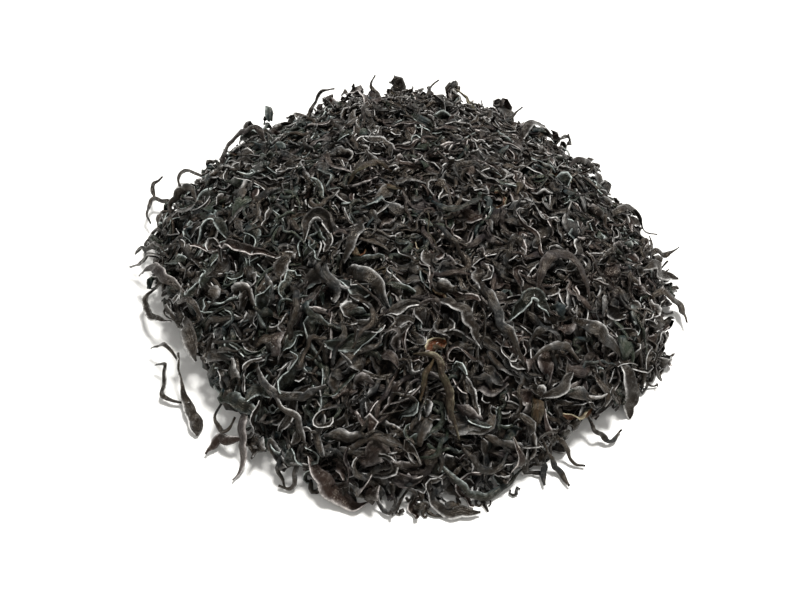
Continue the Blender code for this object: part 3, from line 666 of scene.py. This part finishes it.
def largeSkin(draw, form, route, halfWidth, share):
    look = largeLook[form]
    along = lengthAlong(route)
    normals = heapNormals(route)
    side = unit(np.cross(np.gradient(route, axis=0), normals))
    quiet = np.sin(math.pi * share)[:, None]
    sideways = wander(draw, along, 3.2, kinked=True)[:, None]
    upwards = wander(draw, along, 2.6, kinked=True)[:, None]
    route = route + side * sideways * largeLook["shrivel"] * quiet
    route = route + normals * upwards * largeLook["shrivel"] * largeLook["shrivelUp"] * quiet
    openness = swelling(share, 0.5) ** largeLook["openness"]
    curl = np.radians(look["curl"][1] + (look["curl"][0] - look["curl"][1]) * openness)
    curls = [curl * (1 + look["ruffle"] * wander(draw, along, 3.0)) for _ in range(2)]
    roll = np.radians(draw.uniform(*look["roll"]) + largeLook["twist"] * wander(draw, along, 7.0))
    if draw.uniform() < look["turned"]:
        roll = roll + math.pi
    halfWidth = halfWidth * look["slimmer"] * (1 + look["ripple"] * wander(draw, along, 2.0))
    thickness = largeLook["thickness"] * np.clip(halfWidth / largeLook["thickFrom"], largeLook["thinnest"], 1)
    return shredSkin(draw, route, normals, halfWidth, curls, roll, thickness, look["columns"], look["margin"])


largeLayouts = {}
for node, (_, _, stem, *branches) in largeShreds.items():
    stemRoute = largeArm(stem)
    largeLayouts[node] = [stemRoute] + [largeArm(branch, stemRoute[0]) for branch in branches]

for number, (node, (slot, form, *_)) in enumerate(largeShreds.items()):
    draw = np.random.default_rng(largeLook["seed"] * 1000 + number)
    skins = [largeSkin(draw, form, *arm) for arm in largeLayouts[node]]
    meshPiece(node + "_blade", skins, "wakame_" + slot, [node])
bladeFaces = sum(len(piece.data.polygons) for piece in bpy.data.objects if piece.name.endswith("_blade"))
print("large shreds made:", len(largeShreds), "of", bladeFaces * 2, "triangles")


# The heap: shreds laid one by one, each on those beneath it.
heapLook = {
    "seed": 4,
    "bedDrop": 4.2,  # the lowest shreds lie this far under the mound's surface
    "bedFall": 7.0,  # the bed falls to the table over this length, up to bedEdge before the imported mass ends
    "bedEdge": 2,
    "reach": 1.5,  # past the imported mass, before the few that go further
    "layers": (("filler", 1850), ("clumps", 6), ("top", 1640), ("gaps", 430), ("fringe", 310)),
    "slots": (("charcoal", 0.62), ("green_black", 0.20), ("purple_brown", 0.17), ("midrib_tan", 0.01)),
    "candidates": 7,
    "simpler": 2,  # columns that the shreds deep down do without
    "hollowLength": 8.0,  # gaps between gathered shreds lie about this far apart
    "hollowDepth": 5.0,
    "hollowLevel": 50,
    "highest": 46.6,
    "ringSpacing": 1.25,
    "narrowest": 0.28,
    "waves": ((23, 0), (41, 2), (67, 4)),  # round the heap's edge, each 1 mm deep
    # height is half of how high a shred lies, as a share of its half width
    "families": {
        "rolls": {"share": 0.52, "length": (7, 24), "halfWidth": (0.5, 1.1), "curl": (70, 165), "columns": 5,
                  "turn": (20, 210), "kinks": 3, "squiggle": (0.6, 2.2), "hooks": 0.5, "margin": (0.8, 1.6),
                  "widest": (0.35, 0.65), "taper": (0.2, 0.5), "height": 0.9},
        "leaves": {"share": 0.27, "length": (6, 18), "halfWidth": (0.9, 2.5), "curl": (20, 130), "columns": 7,
                   "turn": (5, 80), "kinks": 2, "squiggle": (0.3, 1.1), "hooks": 0.2, "margin": (1.2, 3.0),
                   "widest": (0.3, 0.7), "taper": (0.8, 1.4), "height": 0.5},
        "strings": {"share": 0.21, "length": (7, 26), "halfWidth": (0.36, 0.62), "curl": (0, 0), "columns": 3,
                    "turn": (20, 260), "kinks": 3, "squiggle": (0.8, 2.4), "hooks": 0.5, "margin": (1, 1),
                    "widest": (0.35, 0.65), "taper": (0.2, 0.5), "height": 0.9},
    },
}


def packedEdge(angle):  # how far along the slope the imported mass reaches
    return profile["rim"] * rimRadius(angle) / mound["meanRadius"] - rimInset(angle)


def pastRim(flat):
    angle = np.arctan2(flat[:, 1], flat[:, 0])
    grow = rimRadius(angle) / mound["meanRadius"]
    return np.hypot(flat[:, 0], flat[:, 1]) - profile["rim"] * grow + rimInset(angle)


def startHeights():
    # The height off the unrolled surface that the first shreds find: the bed, and the table past the rim.
    half = mound["mapHalf"]
    side = np.arange(-half, half + 1.0)
    flat = np.stack(np.meshgrid(side, side, indexing="ij"), -1).reshape(-1, 2)
    surface, normal = onHeap(flat, np.zeros(len(flat)))
    table = -surface[:, 2] / normal[:, 2]
    fall = np.clip(1 + (pastRim(flat) + heapLook["bedEdge"]) / heapLook["bedFall"], 0, 1)
    start = np.maximum(-heapLook["bedDrop"] * (1 - fall) + table * fall, table)
    return start.reshape(len(side), -1), table.reshape(len(side), -1)


# Small shreds stay below a large one wherever it rides over the heap.
clearance = {
    "wider": 0.6,  # than the large shred, on either side
    "ridesFrom": 1.2,  # lower down, it lies among the small ones
    "sunk": 0.4,  # of its half width, that they may reach up into
    "none": 99.0,
}

tops, tableHeights = startHeights()
untouchedTops = tops.copy()
hollows = noiseMap(heapLook["hollowLength"], heapLook["hollowLevel"]) * heapLook["hollowDepth"]
ceilings = np.full(tops.shape, clearance["none"])


def cellsAt(flat):
    half = mound["mapHalf"]
    cells = np.clip(np.rint(flat + half).astype(int), 0, 2 * half)
    return cells[..., 0], cells[..., 1]


def leftOf(line):
    heading = unit(np.gradient(line, axis=0))
    return np.stack([-heading[:, 1], heading[:, 0]], 1)


def footprint(flat, halfWidth, spread):
    return cellsAt(flat + leftOf(flat) * (np.array(spread)[:, None] * halfWidth)[..., None])


def keepClearUnder(route, halfWidth):
    flat = unrolled(route[:, 0], route[:, 1])
    surface, normal = onHeap(flat, np.zeros(len(flat)))
    lift = np.einsum("ij,ij->i", route - surface, normal)
    cells = footprint(flat, halfWidth + clearance["wider"], np.linspace(-1, 1, 7))
    under = np.where(lift > clearance["ridesFrom"], lift - clearance["sunk"] * halfWidth, clearance["none"])
    np.minimum.at(ceilings, cells, np.broadcast_to(under, cells[0].shape))


for arms in largeLayouts.values():
    for route, halfWidth, _ in arms:
        keepClearUnder(route, halfWidth)


crook = {
    "shortness": 1.6,  # higher makes long shreds rarer
    "fewestRings": 7,
    "squiggleLength": (2.2, 4.5),
    "kinkTurn": 1.5,  # radians either way, as for the squiggle and the hook
    "kinkPlace": (0.1, 0.9),
    "kinkSharpness": 1.5,
    "hookTurn": (1.2, 3.2),
    "hookLength": 0.3,  # as a share of the shred, and how many of these lie before it
    "hookStart": 2.33,
    "bluntShare": 0.5,  # of the shreds have one cut end, this broad
    "bluntWidth": 0.65,
    "wobble": 0.28,
    "wobbleRings": 2.2,
}


def crookedPath(draw, family):
    # A dried shred's path: it bends overall, kinks where it shrivelled, and may end in a hook.
    shortest, longest = family["length"]
    length = shortest + (longest - shortest) * draw.uniform() ** crook["shortness"]
    count = max(crook["fewestRings"], int(length / heapLook["ringSpacing"]))
    t = (np.arange(count) + 0.5) / count
    turn = math.radians(draw.uniform(*family["turn"])) * draw.choice((-1, 1))
    heading = draw.uniform(0, math.tau) + turn * (t - 0.5)
    squiggle = draw.uniform(*family["squiggle"])
    heading = heading + squiggle * wander(draw, t * length, draw.uniform(*crook["squiggleLength"]))
    for _ in range(draw.integers(0, family["kinks"] + 1)):
        kink = draw.uniform(-crook["kinkTurn"], crook["kinkTurn"])
        past = (t - draw.uniform(*crook["kinkPlace"])) * length * crook["kinkSharpness"]
        heading = heading + kink / (1 + np.exp(-past))
    for tip in (t, 1 - t):
        if draw.uniform() < family["hooks"]:
            hook = draw.uniform(*crook["hookTurn"]) * draw.choice((-1, 1))
            heading = heading + hook * np.clip(tip / crook["hookLength"] - crook["hookStart"], 0, 1)
    path = np.cumsum(np.stack([np.cos(heading), np.sin(heading)], 1) * length / count, axis=0)
    return path - path.mean(axis=0)


def widths(draw, family, count):
    t = np.linspace(0, 1, count)
    widest = draw.uniform(*family["halfWidth"])
    shape = swelling(t, draw.uniform(*family["widest"])) ** draw.uniform(*family["taper"])
    if draw.uniform() < crook["bluntShare"]:
        shape = np.maximum(shape, crook["bluntWidth"] * (t > 0.5))
    wobble = 1 + crook["wobble"] * wander(draw, t * count, crook["wobbleRings"])
    return np.maximum(heapLook["narrowest"], widest * shape * wobble)


def newShred(draw, name):
    family = heapLook["families"][name]
    path = crookedPath(draw, family)
    return path, widths(draw, family, len(path))


def ragged(flat):  # the heap's edge wavers
    angle = np.arctan2(flat[:, 1], flat[:, 0])
    return sum(np.sin(angle * count + start) for count, start in heapLook["waves"])


@functools.cache
def settling(count):
    # Two ways of easing heights along a shred: to its best parabola, and to a mean over five rings.
    t = np.linspace(-1, 1, count)
    basis = np.stack([np.ones(count), t, t * t], 1)
    stiff = basis @ np.linalg.pinv(basis)
    rows = [np.convolve(np.pad(row, 2, mode="edge"), np.ones(5) / 5, mode="valid") for row in np.eye(count)]
    return stiff, np.array(rows).T


laying = {
    "contact": 0.85,  # a stiff shred lies over this share of what is under it, and presses the rest down
    "stiffness": (0.3, 0.8),
    "dent": 0.5,  # what lies below gives way this far
    "furtherReach": 3.0,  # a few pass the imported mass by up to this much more
    "overlap": 0.9,  # the most that a shred may pass its ceiling by
    "overlapCost": 2,
    "steepCost": 0.5,
    "steepest": 7.0,  # no shred stands up further than this along its length
    "seat": 0.9,  # the centre line's height over what lies below, as a share of half its own height
    "pressedIn": 0.25,  # what lies on it sinks in this far
    "tipsRaised": 0.25,  # of the tips stand off the heap
    "tipRise": (0.4, 2.6),
    "tilt": 0.13,  # off its bed, per unit of length
    "steepestTilt": 0.3,
    "tableSeat": 0.8,  # on bare table the centre line keeps half its height, or this where that is less
    "waver": 0.45,
    "waverLength": 3.0,
    "tipCurl": (10, 80),  # degrees more at a leaf's tips
    "uneven": 0.5,
    "ruffle": 0.2,  # radians, as for the facing and the twist
    "sCurved": 0.2,  # of the shreds turn one margin up and the other down
    "facing": 1.1,
    "faceDown": 0.65,  # of the shreds lie open side down
    "twist": 1.5,
    "wrung": 0.6,  # and unevenly on top of the twist
    "thickness": (0.25, 0.38),
}


def restingLift(flat, halfWidth, stiffness):
    # The lift off the surface at which the shred rests on what its footprint covers.
    cells = footprint(flat, halfWidth, (-0.8, 0, 0.8))
    support = tops[cells].max(axis=0)
    room = ceilings[cells].min(axis=0)
    stiff, loose = settling(len(flat))
    line = stiff @ support
    line = line + np.sort(support - line)[int(laying["contact"] * len(line))]
    drape = loose @ np.maximum(support, loose @ support)
    lift = stiffness * line + (1 - stiffness) * drape
    return np.maximum(lift, support - laying["dent"]), room


# The photo's shreds are broader at the front left and finer at the back right.
grain = {
    "mean": 1.03,
    "perMm": 0.0033,
    "leftward": 0.35,
    "limit": 90,
}


def sizeAt(place):
    forward = np.clip(-place[1] - grain["leftward"] * place[0], -grain["limit"], grain["limit"])
    return grain["mean"] + grain["perMm"] * forward


def lowestPlace(draw, name, places, reach):
    # Of several places, each a path with its half widths, the lowest that fits.
    height = heapLook["families"][name]["height"]
    best = (math.inf,)
    for flat, halfWidth in places:
        if (pastRim(flat) - ragged(flat)).max() > reach:
            continue
        lift, room = restingLift(flat, halfWidth, draw.uniform(*laying["stiffness"]))
        over = (lift + 2 * height * halfWidth - room).max()
        if over > laying["overlap"] or np.ptp(lift) > laying["steepest"]:
            continue
        cost = lift.mean() + max(0, over) * laying["overlapCost"]
        cost = cost + np.abs(np.gradient(lift)).max() * laying["steepCost"] + hollows[cellsAt(flat)].mean()
        if cost < best[0]:
            best = (cost, flat, halfWidth, lift, room)
    return best[1:]


def layShred(draw, name, places, simpler=0, reach=None):
    # Gives the skin of a shred laid in the best of the places, or nothing.
    family = heapLook["families"][name]
    if reach is None:
        reach = heapLook["reach"] + laying["furtherReach"] * draw.uniform() ** 3
    place = lowestPlace(draw, name, places, reach)
    if not place:
        return None
    flat, halfWidth, lift, room = place
    top = family["height"] * halfWidth
    table = tableHeights[cellsAt(flat)]
    lift = np.minimum(lift + top * laying["seat"], np.maximum(room - top, table + top))
    spread = np.linspace(-1, 1, 5)
    crown = lift + np.sqrt(1 - spread**2)[:, None] * top - laying["pressedIn"]
    np.maximum.at(tops, footprint(flat, halfWidth, spread), crown)
    t = np.linspace(0, 1, len(flat))
    for tip in (t, 1 - t):
        if draw.uniform() < laying["tipsRaised"]:
            lift = lift + draw.uniform(*laying["tipRise"]) * np.clip(tip * 3 - 2, 0, 1) ** 1.5
    tilt = np.clip(draw.normal() * laying["tilt"], -laying["steepestTilt"], laying["steepestTilt"])
    lift = lift + tilt * (t - 0.5) * len(t) * heapLook["ringSpacing"]
    lift = np.maximum(lift, table + np.minimum(top, laying["tableSeat"]))
    centre, normal = onHeap(flat, lift)
    along = lengthAlong(centre)
    centre = centre + normal * wander(draw, along, laying["waverLength"])[:, None] * laying["waver"]
    # none sinks into the table or tops the heap's highest point
    centre[:, 2] = np.clip(centre[:, 2], top * 0.7 + 0.1, heapLook["highest"] - 0.9 * halfWidth)

    curl = draw.uniform(*family["curl"])
    if name == "leaves":
        curl = curl + draw.uniform(*laying["tipCurl"]) * (1 - swelling(t, 0.5) ** 0.7)
    curls = []
    for _ in range(2):
        curls.append(np.radians(curl) * (1 + laying["uneven"] * wander(draw, along, 3.0)))
        curls[-1] = curls[-1] + laying["ruffle"] * wander(draw, along, 2.0)
    if draw.uniform() < laying["sCurved"]:
        curls[0] = -curls[0]
    roll = draw.uniform(-laying["facing"], laying["facing"])
    if draw.uniform() < laying["faceDown"]:
        roll = roll + math.pi
    roll = roll + draw.uniform(-laying["twist"], laying["twist"]) * (t - 0.5) * 2
    roll = roll + laying["wrung"] * wander(draw, along, 5.0)
    thickness = np.full(len(t), draw.uniform(*laying["thickness"]))
    columns = max(3, family["columns"] - simpler)
    return shredSkin(draw, centre, normal, halfWidth, curls, roll, thickness, columns,
                     draw.uniform(*family["margin"]), solid=name == "strings")


def randomPlace(draw):
    angle = draw.uniform(0, math.tau)
    reach = packedEdge(angle)
    return np.array([math.cos(angle), math.sin(angle)]) * reach * math.sqrt(draw.uniform(0, 1))


# Green-black gathers on the left and purple-brown in the middle, as in the photo.
hueZones = {
    "noise": 0.6,
    "length": 40.0,
    "level": 90,
    "left": 0.45,
    "middleX": -25,
    "blendWidth": 30,
    "rightLimit": -0.6,
    "contrast": 2.2,
    "least": 0.1,
}


def hueShares(place):
    zone = hueZones["noise"] * noise.noise(
        Vector((place[0], place[1], hueZones["level"])) / hueZones["length"])
    leftward = (hueZones["middleX"] - place[0]) / hueZones["blendWidth"]
    zone = zone + hueZones["left"] * max(hueZones["rightLimit"], min(1, leftward))
    bias = {"green_black": 1 + hueZones["contrast"] * zone, "purple_brown": 1 - hueZones["contrast"] * zone}
    return [(slot, share * max(hueZones["least"], bias.get(slot, 1))) for slot, share in heapLook["slots"]]


def pick(draw, choices):
    names = [name for name, _ in choices]
    shares = np.array([share for _, share in choices])
    return names[draw.choice(len(names), p=shares / shares.sum())]


heapSkins = {}


def keepSkin(draw, depth, name, skin, hue=None):
    if skin is not None:
        slot = pick(draw, hueShares(skin["points"][0])) if hue is None else hue
        heapSkins.setdefault((slot, name, depth), []).append(skin)


def scatter(draw, depth, count, simpler=0):
    for _ in range(count):
        name = pick(draw, [(key, family["share"]) for key, family in heapLook["families"].items()])
        path, halfWidth = newShred(draw, name)
        places = []
        for _ in range(heapLook["candidates"]):
            place = randomPlace(draw)
            places.append((path * sizeAt(place) + place, halfWidth * sizeAt(place)))
        keepSkin(draw, depth, name, layShred(draw, name, places, simpler))


gapLook = {
    "heapHeight": 5,  # nearer the table, a bare spot is the heap's edge
    "kinds": (("rolls", 0.5), ("leaves", 0.5)),
    "shorter": 0.9,
    "jitter": 1.5,
    "candidates": 4,
}


def fillGaps(draw, count):
    # Broad pieces low down, where the bed still shows.
    bare = []
    for _ in range(count):
        bare = np.argwhere((tops == untouchedTops) & (tableHeights < -gapLook["heapHeight"]))
        if len(bare) == 0:
            break
        name = pick(draw, gapLook["kinds"])
        path, halfWidth = newShred(draw, name)
        spot = bare[draw.integers(len(bare))] - mound["mapHalf"]
        places = []
        for _ in range(gapLook["candidates"]):
            aside = draw.uniform(-gapLook["jitter"], gapLook["jitter"], 2)
            places.append((path * gapLook["shorter"] + spot + aside, halfWidth))
        keepSkin(draw, "lower", name, layShred(draw, name, places, heapLook["simpler"]))
    print("cells still bare:", len(bare))


fringeLook = {
    "backShare": 0.22,  # of the pieces lie between these bearings on purpose
    "backBearings": (0.5, 2.6),
    # broad pieces crowd the far side: a value at the front, and what it gains towards the back
    "kinds": {"rolls": (0.5, 0), "leaves": (0.3, 0.6), "strings": (0.15, -0.1)},
    "broader": (1.2, 0.35),
    "further": (1, -0.35),
    "reach": (0.5, 7.0),
    "swing": 0.7,
    "slack": 4,  # so that a piece aimed at its reach isn't left out for the heap's ragged edge
}


def fringe(draw, count):
    # Single shreds at the heap's edge, lying outward with their ends free of it.
    for _ in range(count):
        out = draw.uniform(0, math.tau)
        if draw.uniform() < fringeLook["backShare"]:
            out = draw.uniform(*fringeLook["backBearings"])
        back = max(0, math.sin(out))
        broader, further = (fringeLook[key][0] + fringeLook[key][1] * back for key in ("broader", "further"))
        name = pick(draw, [(kind, base + gain * back) for kind, (base, gain) in fringeLook["kinds"].items()])
        path, halfWidth = newShred(draw, name)
        ends = path[-1] - path[0]
        turn = out + draw.normal() * fringeLook["swing"] - math.atan2(ends[1], ends[0])
        path = path @ np.array([[math.cos(turn), math.sin(turn)], [-math.sin(turn), math.cos(turn)]])
        outward = np.array([math.cos(out), math.sin(out)])
        reach = draw.uniform(*fringeLook["reach"]) * further
        middle = outward * (packedEdge(out) + reach - (path @ outward).max() - 1)
        skin = layShred(draw, name, [(path + middle, halfWidth * broader)], reach=reach + fringeLook["slack"])
        keepSkin(draw, "upper", name, skin)


# The clumps follow the routes of the shreds in the solids, which are larger than life.
clump = {
    "seed": 22,
    "count": 116,
    "steps": 5,
    "length": (30, 48),
    "halfWidth": (2.8, 5.0),
    "turn": (50, 230),
    "wave": 0.9,
    "rise": 3.5,
    "widestAt": (0.35, 0.65),
    "tilt": 0.9,
    "drift": 0.12,
    "rimReach": 1.5,
    "crowding": 0.42,
    "outermost": 0.97,
    "kinds": (("rolls", 0.6), ("leaves", 0.2), ("strings", 0.2)),
    "crook": (0.5, 2.0),  # sideways, of the small shreds along the route
    "crookLength": 5.0,
    "spread": 0.7,  # of the large shred's half width
    "slant": 2,
    "ownHue": 0.5,  # of the small ones share their clump's colour
}


def clumpRoutes():
    draw = random.Random(clump["seed"])
    steps = clump["steps"]
    for index in range(clump["count"]):
        share = ((index + 0.5) / clump["count"]) ** clump["crowding"]
        bearing = index * math.pi * (3 - math.sqrt(5)) + draw.uniform(-clump["drift"], clump["drift"])
        outward = np.array([math.cos(bearing), math.sin(bearing)])
        middle = outward * float(rimRadius(bearing)) * share * clump["outermost"]
        length = draw.uniform(*clump["length"])
        heading = draw.uniform(0, math.tau)
        turn = math.radians(draw.uniform(*clump["turn"])) * draw.choice((-1, 1))
        wave = draw.uniform(-clump["wave"], clump["wave"])
        draw.uniform(0.0, clump["rise"])  # only the solids use this draw and the last two
        t = (np.arange(steps) + 0.5) / steps
        way = heading + turn * (t - 0.5) + wave * np.sin(math.tau * t)
        walk = np.stack([np.cos(way), np.sin(way)], 1) * length / steps
        flat = np.concatenate([[(0, 0)], np.cumsum(walk, axis=0)])
        flat = flat + middle - flat.mean(axis=0)
        limit = rimRadius(np.arctan2(flat[:, 1], flat[:, 0])) + clump["rimReach"]
        flat = flat * np.minimum(1, limit / np.hypot(flat[:, 0], flat[:, 1]))[:, None]
        widest = draw.uniform(*clump["halfWidth"])
        draw.uniform(*clump["widestAt"])
        draw.uniform(-clump["tilt"], clump["tilt"])
        yield flat, widest


def followClumps(draw, each):
    for route, widest in clumpRoutes():
        line = smoothRoute(unrolled(route[:, 0], route[:, 1]), heapLook["ringSpacing"])
        hue = pick(draw, heapLook["slots"])
        for _ in range(each):
            name = pick(draw, clump["kinds"])
            family = heapLook["families"][name]
            count = min(len(line), int(draw.uniform(*family["length"]) / heapLook["ringSpacing"]))
            halfWidth = widths(draw, family, count)
            places = []
            bend = draw.uniform(*clump["crook"])
            for _ in range(heapLook["candidates"]):
                first = draw.integers(0, len(line) - count + 1)
                part = line[first:first + count]
                along = lengthAlong(part)
                shift = draw.uniform(-1, 1) * widest * clump["spread"]
                shift = shift + bend * wander(draw, along, clump["crookLength"])
                shift = shift + draw.uniform(-clump["slant"], clump["slant"]) * np.linspace(-1, 1, count)
                places.append((part + leftOf(part) * shift[:, None], halfWidth * sizeAt(part.mean(axis=0))))
            skin = layShred(draw, name, places)
            keepSkin(draw, "upper", name, skin, hue if draw.uniform() < clump["ownHue"] else None)


draw = np.random.default_rng(heapLook["seed"])
for layer, amount in heapLook["layers"]:
    if layer == "clumps":
        followClumps(draw, amount)
    elif layer == "filler":
        scatter(draw, "lower", amount, heapLook["simpler"])
    elif layer == "gaps":
        fillGaps(draw, amount)
    elif layer == "fringe":
        fringe(draw, amount)
    else:
        scatter(draw, "upper", amount)
    inside = tops[tableHeights < -gapLook["heapHeight"]]
    print("layer", layer, "laid, tops", np.round(np.percentile(inside, (5, 25, 50, 75, 95)), 1))

for (slot, name, depth), skins in heapSkins.items():
    piece = meshPiece(f"{slot}_{name}_{depth}", skins, "wakame_" + slot, ["shred_heap"])
    print(piece.name, len(skins), "shreds,", sum(len(skin["faces"]) for skin in skins) * 2, "triangles")


# The matted bed under them
bed = {
    "rings": 50,
    "segments": 160,
    "crowding": 0.8,  # under 1, rings lie closer together towards the rim
    "drop": 4.6,
    "inset": 4.0,
    "lump": 1.6,
    "lumpLength": 3.2,
    "lowest": 0.15,
    "foot": 0.05,
    "crumbSize": 1.5,
    "crumbDepth": 1.6,
    "crumbColours": ((0.38, "#0b0907"), (0.5, "#1b1712"), (0.62, "#39322a")),
    "roughness": 0.8,
    "glossLevel": 0.2,
}


def mattedBedMaterial():
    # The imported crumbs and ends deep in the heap: matt and dark brown, so that the gaps read as depth.
    material, tree, surface = newMaterial("mattedWakameCrumbs", {
        "IOR": driedBlade["ior"], "Roughness": bed["roughness"], "Specular IOR Level": bed["glossLevel"]})
    space = addNode(tree, "ShaderNodeTexCoord").outputs["Object"]
    crumbs = addNode(tree, "ShaderNodeTexNoise", inputs={
        "Scale": 1 / (bed["crumbSize"] * mm), "Detail": 5.0, "Roughness": 0.7}, links={"Vector": space})
    colour = addNode(tree, "ShaderNodeValToRGB", links={"Fac": crumbs.outputs["Fac"]})
    setRamp(colour, bed["crumbColours"])
    tree.links.new(colour.outputs["Color"], surface.inputs["Base Color"])
    bump = addNode(tree, "ShaderNodeBump", inputs={
        "Strength": 1.0, "Distance": bed["crumbDepth"] * mm}, links={"Height": crumbs.outputs["Fac"]})
    tree.links.new(bump.outputs["Normal"], surface.inputs["Normal"])
    return material


def makeBed():
    share = np.linspace(0, 1, bed["rings"]) ** bed["crowding"]
    angle = np.arange(bed["segments"]) / bed["segments"] * math.tau
    reach = packedEdge(angle) - bed["inset"]
    flat = np.stack([np.outer(share, np.cos(angle) * reach), np.outer(share, np.sin(angle) * reach)], -1)
    surface, normal = onHeap(flat.reshape(-1, 2), np.full(share.size * angle.size, -bed["drop"]))
    lumps = np.array([noise.turbulence(Vector(point) / bed["lumpLength"], 2, False) for point in surface])
    surface = surface + normal * (lumps * bed["lump"])[:, None]
    surface[:, 2] = np.maximum(surface[:, 2], bed["lowest"])
    points = surface.reshape(len(share), len(angle), 3)
    points[-1, :, 2] = bed["foot"]
    rings = np.concatenate([points, points[::-1, ...] * (1, 1, 0) + (0, 0, bed["foot"])])
    start = np.arange(len(rings) - 1)[:, None] * len(angle)
    j = np.arange(len(angle))[None, :]
    after = (j + 1) % len(angle)
    faces = np.stack([start + j, start + j + len(angle), start + after + len(angle), start + after], -1)
    skin = {"points": rings.reshape(-1, 3), "faces": faces.reshape(-1, 4)}
    meshPiece("mattedBed", [skin], "wakame_charcoal", ["shred_heap"], mattedBedMaterial())
    print("bed made")


makeBed()


# Stage, light and camera
stage = {
    "floorHalf": 3.0,  # metres, as are the places and the lamp's size
    "floorColour": "#f8f6f1",
    "floorRoughness": 0.5,
    "worldStrength": 0.57,
    "keyWatts": 11.8,
    "keySize": 0.22,
    "keyPlace": (0.18, 0.16, 0.86),
    "cameraDistance": 0.300,
    "cameraElevation": 52,
    "cameraTarget": (-0.0012, -0.0153, 0.0),
    "lens": 35.4,
}


def makeStage():
    mesh = bpy.data.meshes.new("paleFloor")
    half = stage["floorHalf"]
    corners = [(-half, -half, 0), (half, -half, 0), (half, half, 0), (-half, half, 0)]
    mesh.from_pydata(corners, [], [(0, 1, 2, 3)])
    floor = addObject("paleFloor", mesh)
    # A pale glazed surface, faintly glossy: it throws light back up under the heap's edge.
    material, _, _ = newMaterial("whiteGlazedSurface", {
        "Base Color": linear(stage["floorColour"]), "Roughness": stage["floorRoughness"]})
    mesh.materials.append(material)

    scene = bpy.context.scene
    scene.view_settings.view_transform = "Standard"
    world = bpy.data.worlds.new("softStudio")
    scene.world = world
    world.use_nodes = True
    sky = world.node_tree.nodes["Background"].inputs
    sky["Color"].default_value = (1, 1, 1, 1)
    sky["Strength"].default_value = stage["worldStrength"]

    lamp = bpy.data.lights.new("softKey", "AREA")
    lamp.shape = "DISK"
    lamp.size = stage["keySize"]
    lamp.energy = stage["keyWatts"]
    key = addObject("softKey", lamp)
    key.location = stage["keyPlace"]
    key.rotation_euler = (-Vector(stage["keyPlace"])).to_track_quat("-Z", "Y").to_euler()

    camera = addObject("camera", bpy.data.cameras.new("camera"))
    target = Vector(stage["cameraTarget"])
    lean = math.radians(stage["cameraElevation"])
    camera.location = target + Vector((0, -math.cos(lean), math.sin(lean))) * stage["cameraDistance"]
    camera.rotation_euler = (target - camera.location).to_track_quat("-Z", "Y").to_euler()
    camera.data.lens = stage["lens"]
    camera.data.sensor_width = 36
    camera.data.clip_start = 0.01
    scene.camera = camera


makeStage()
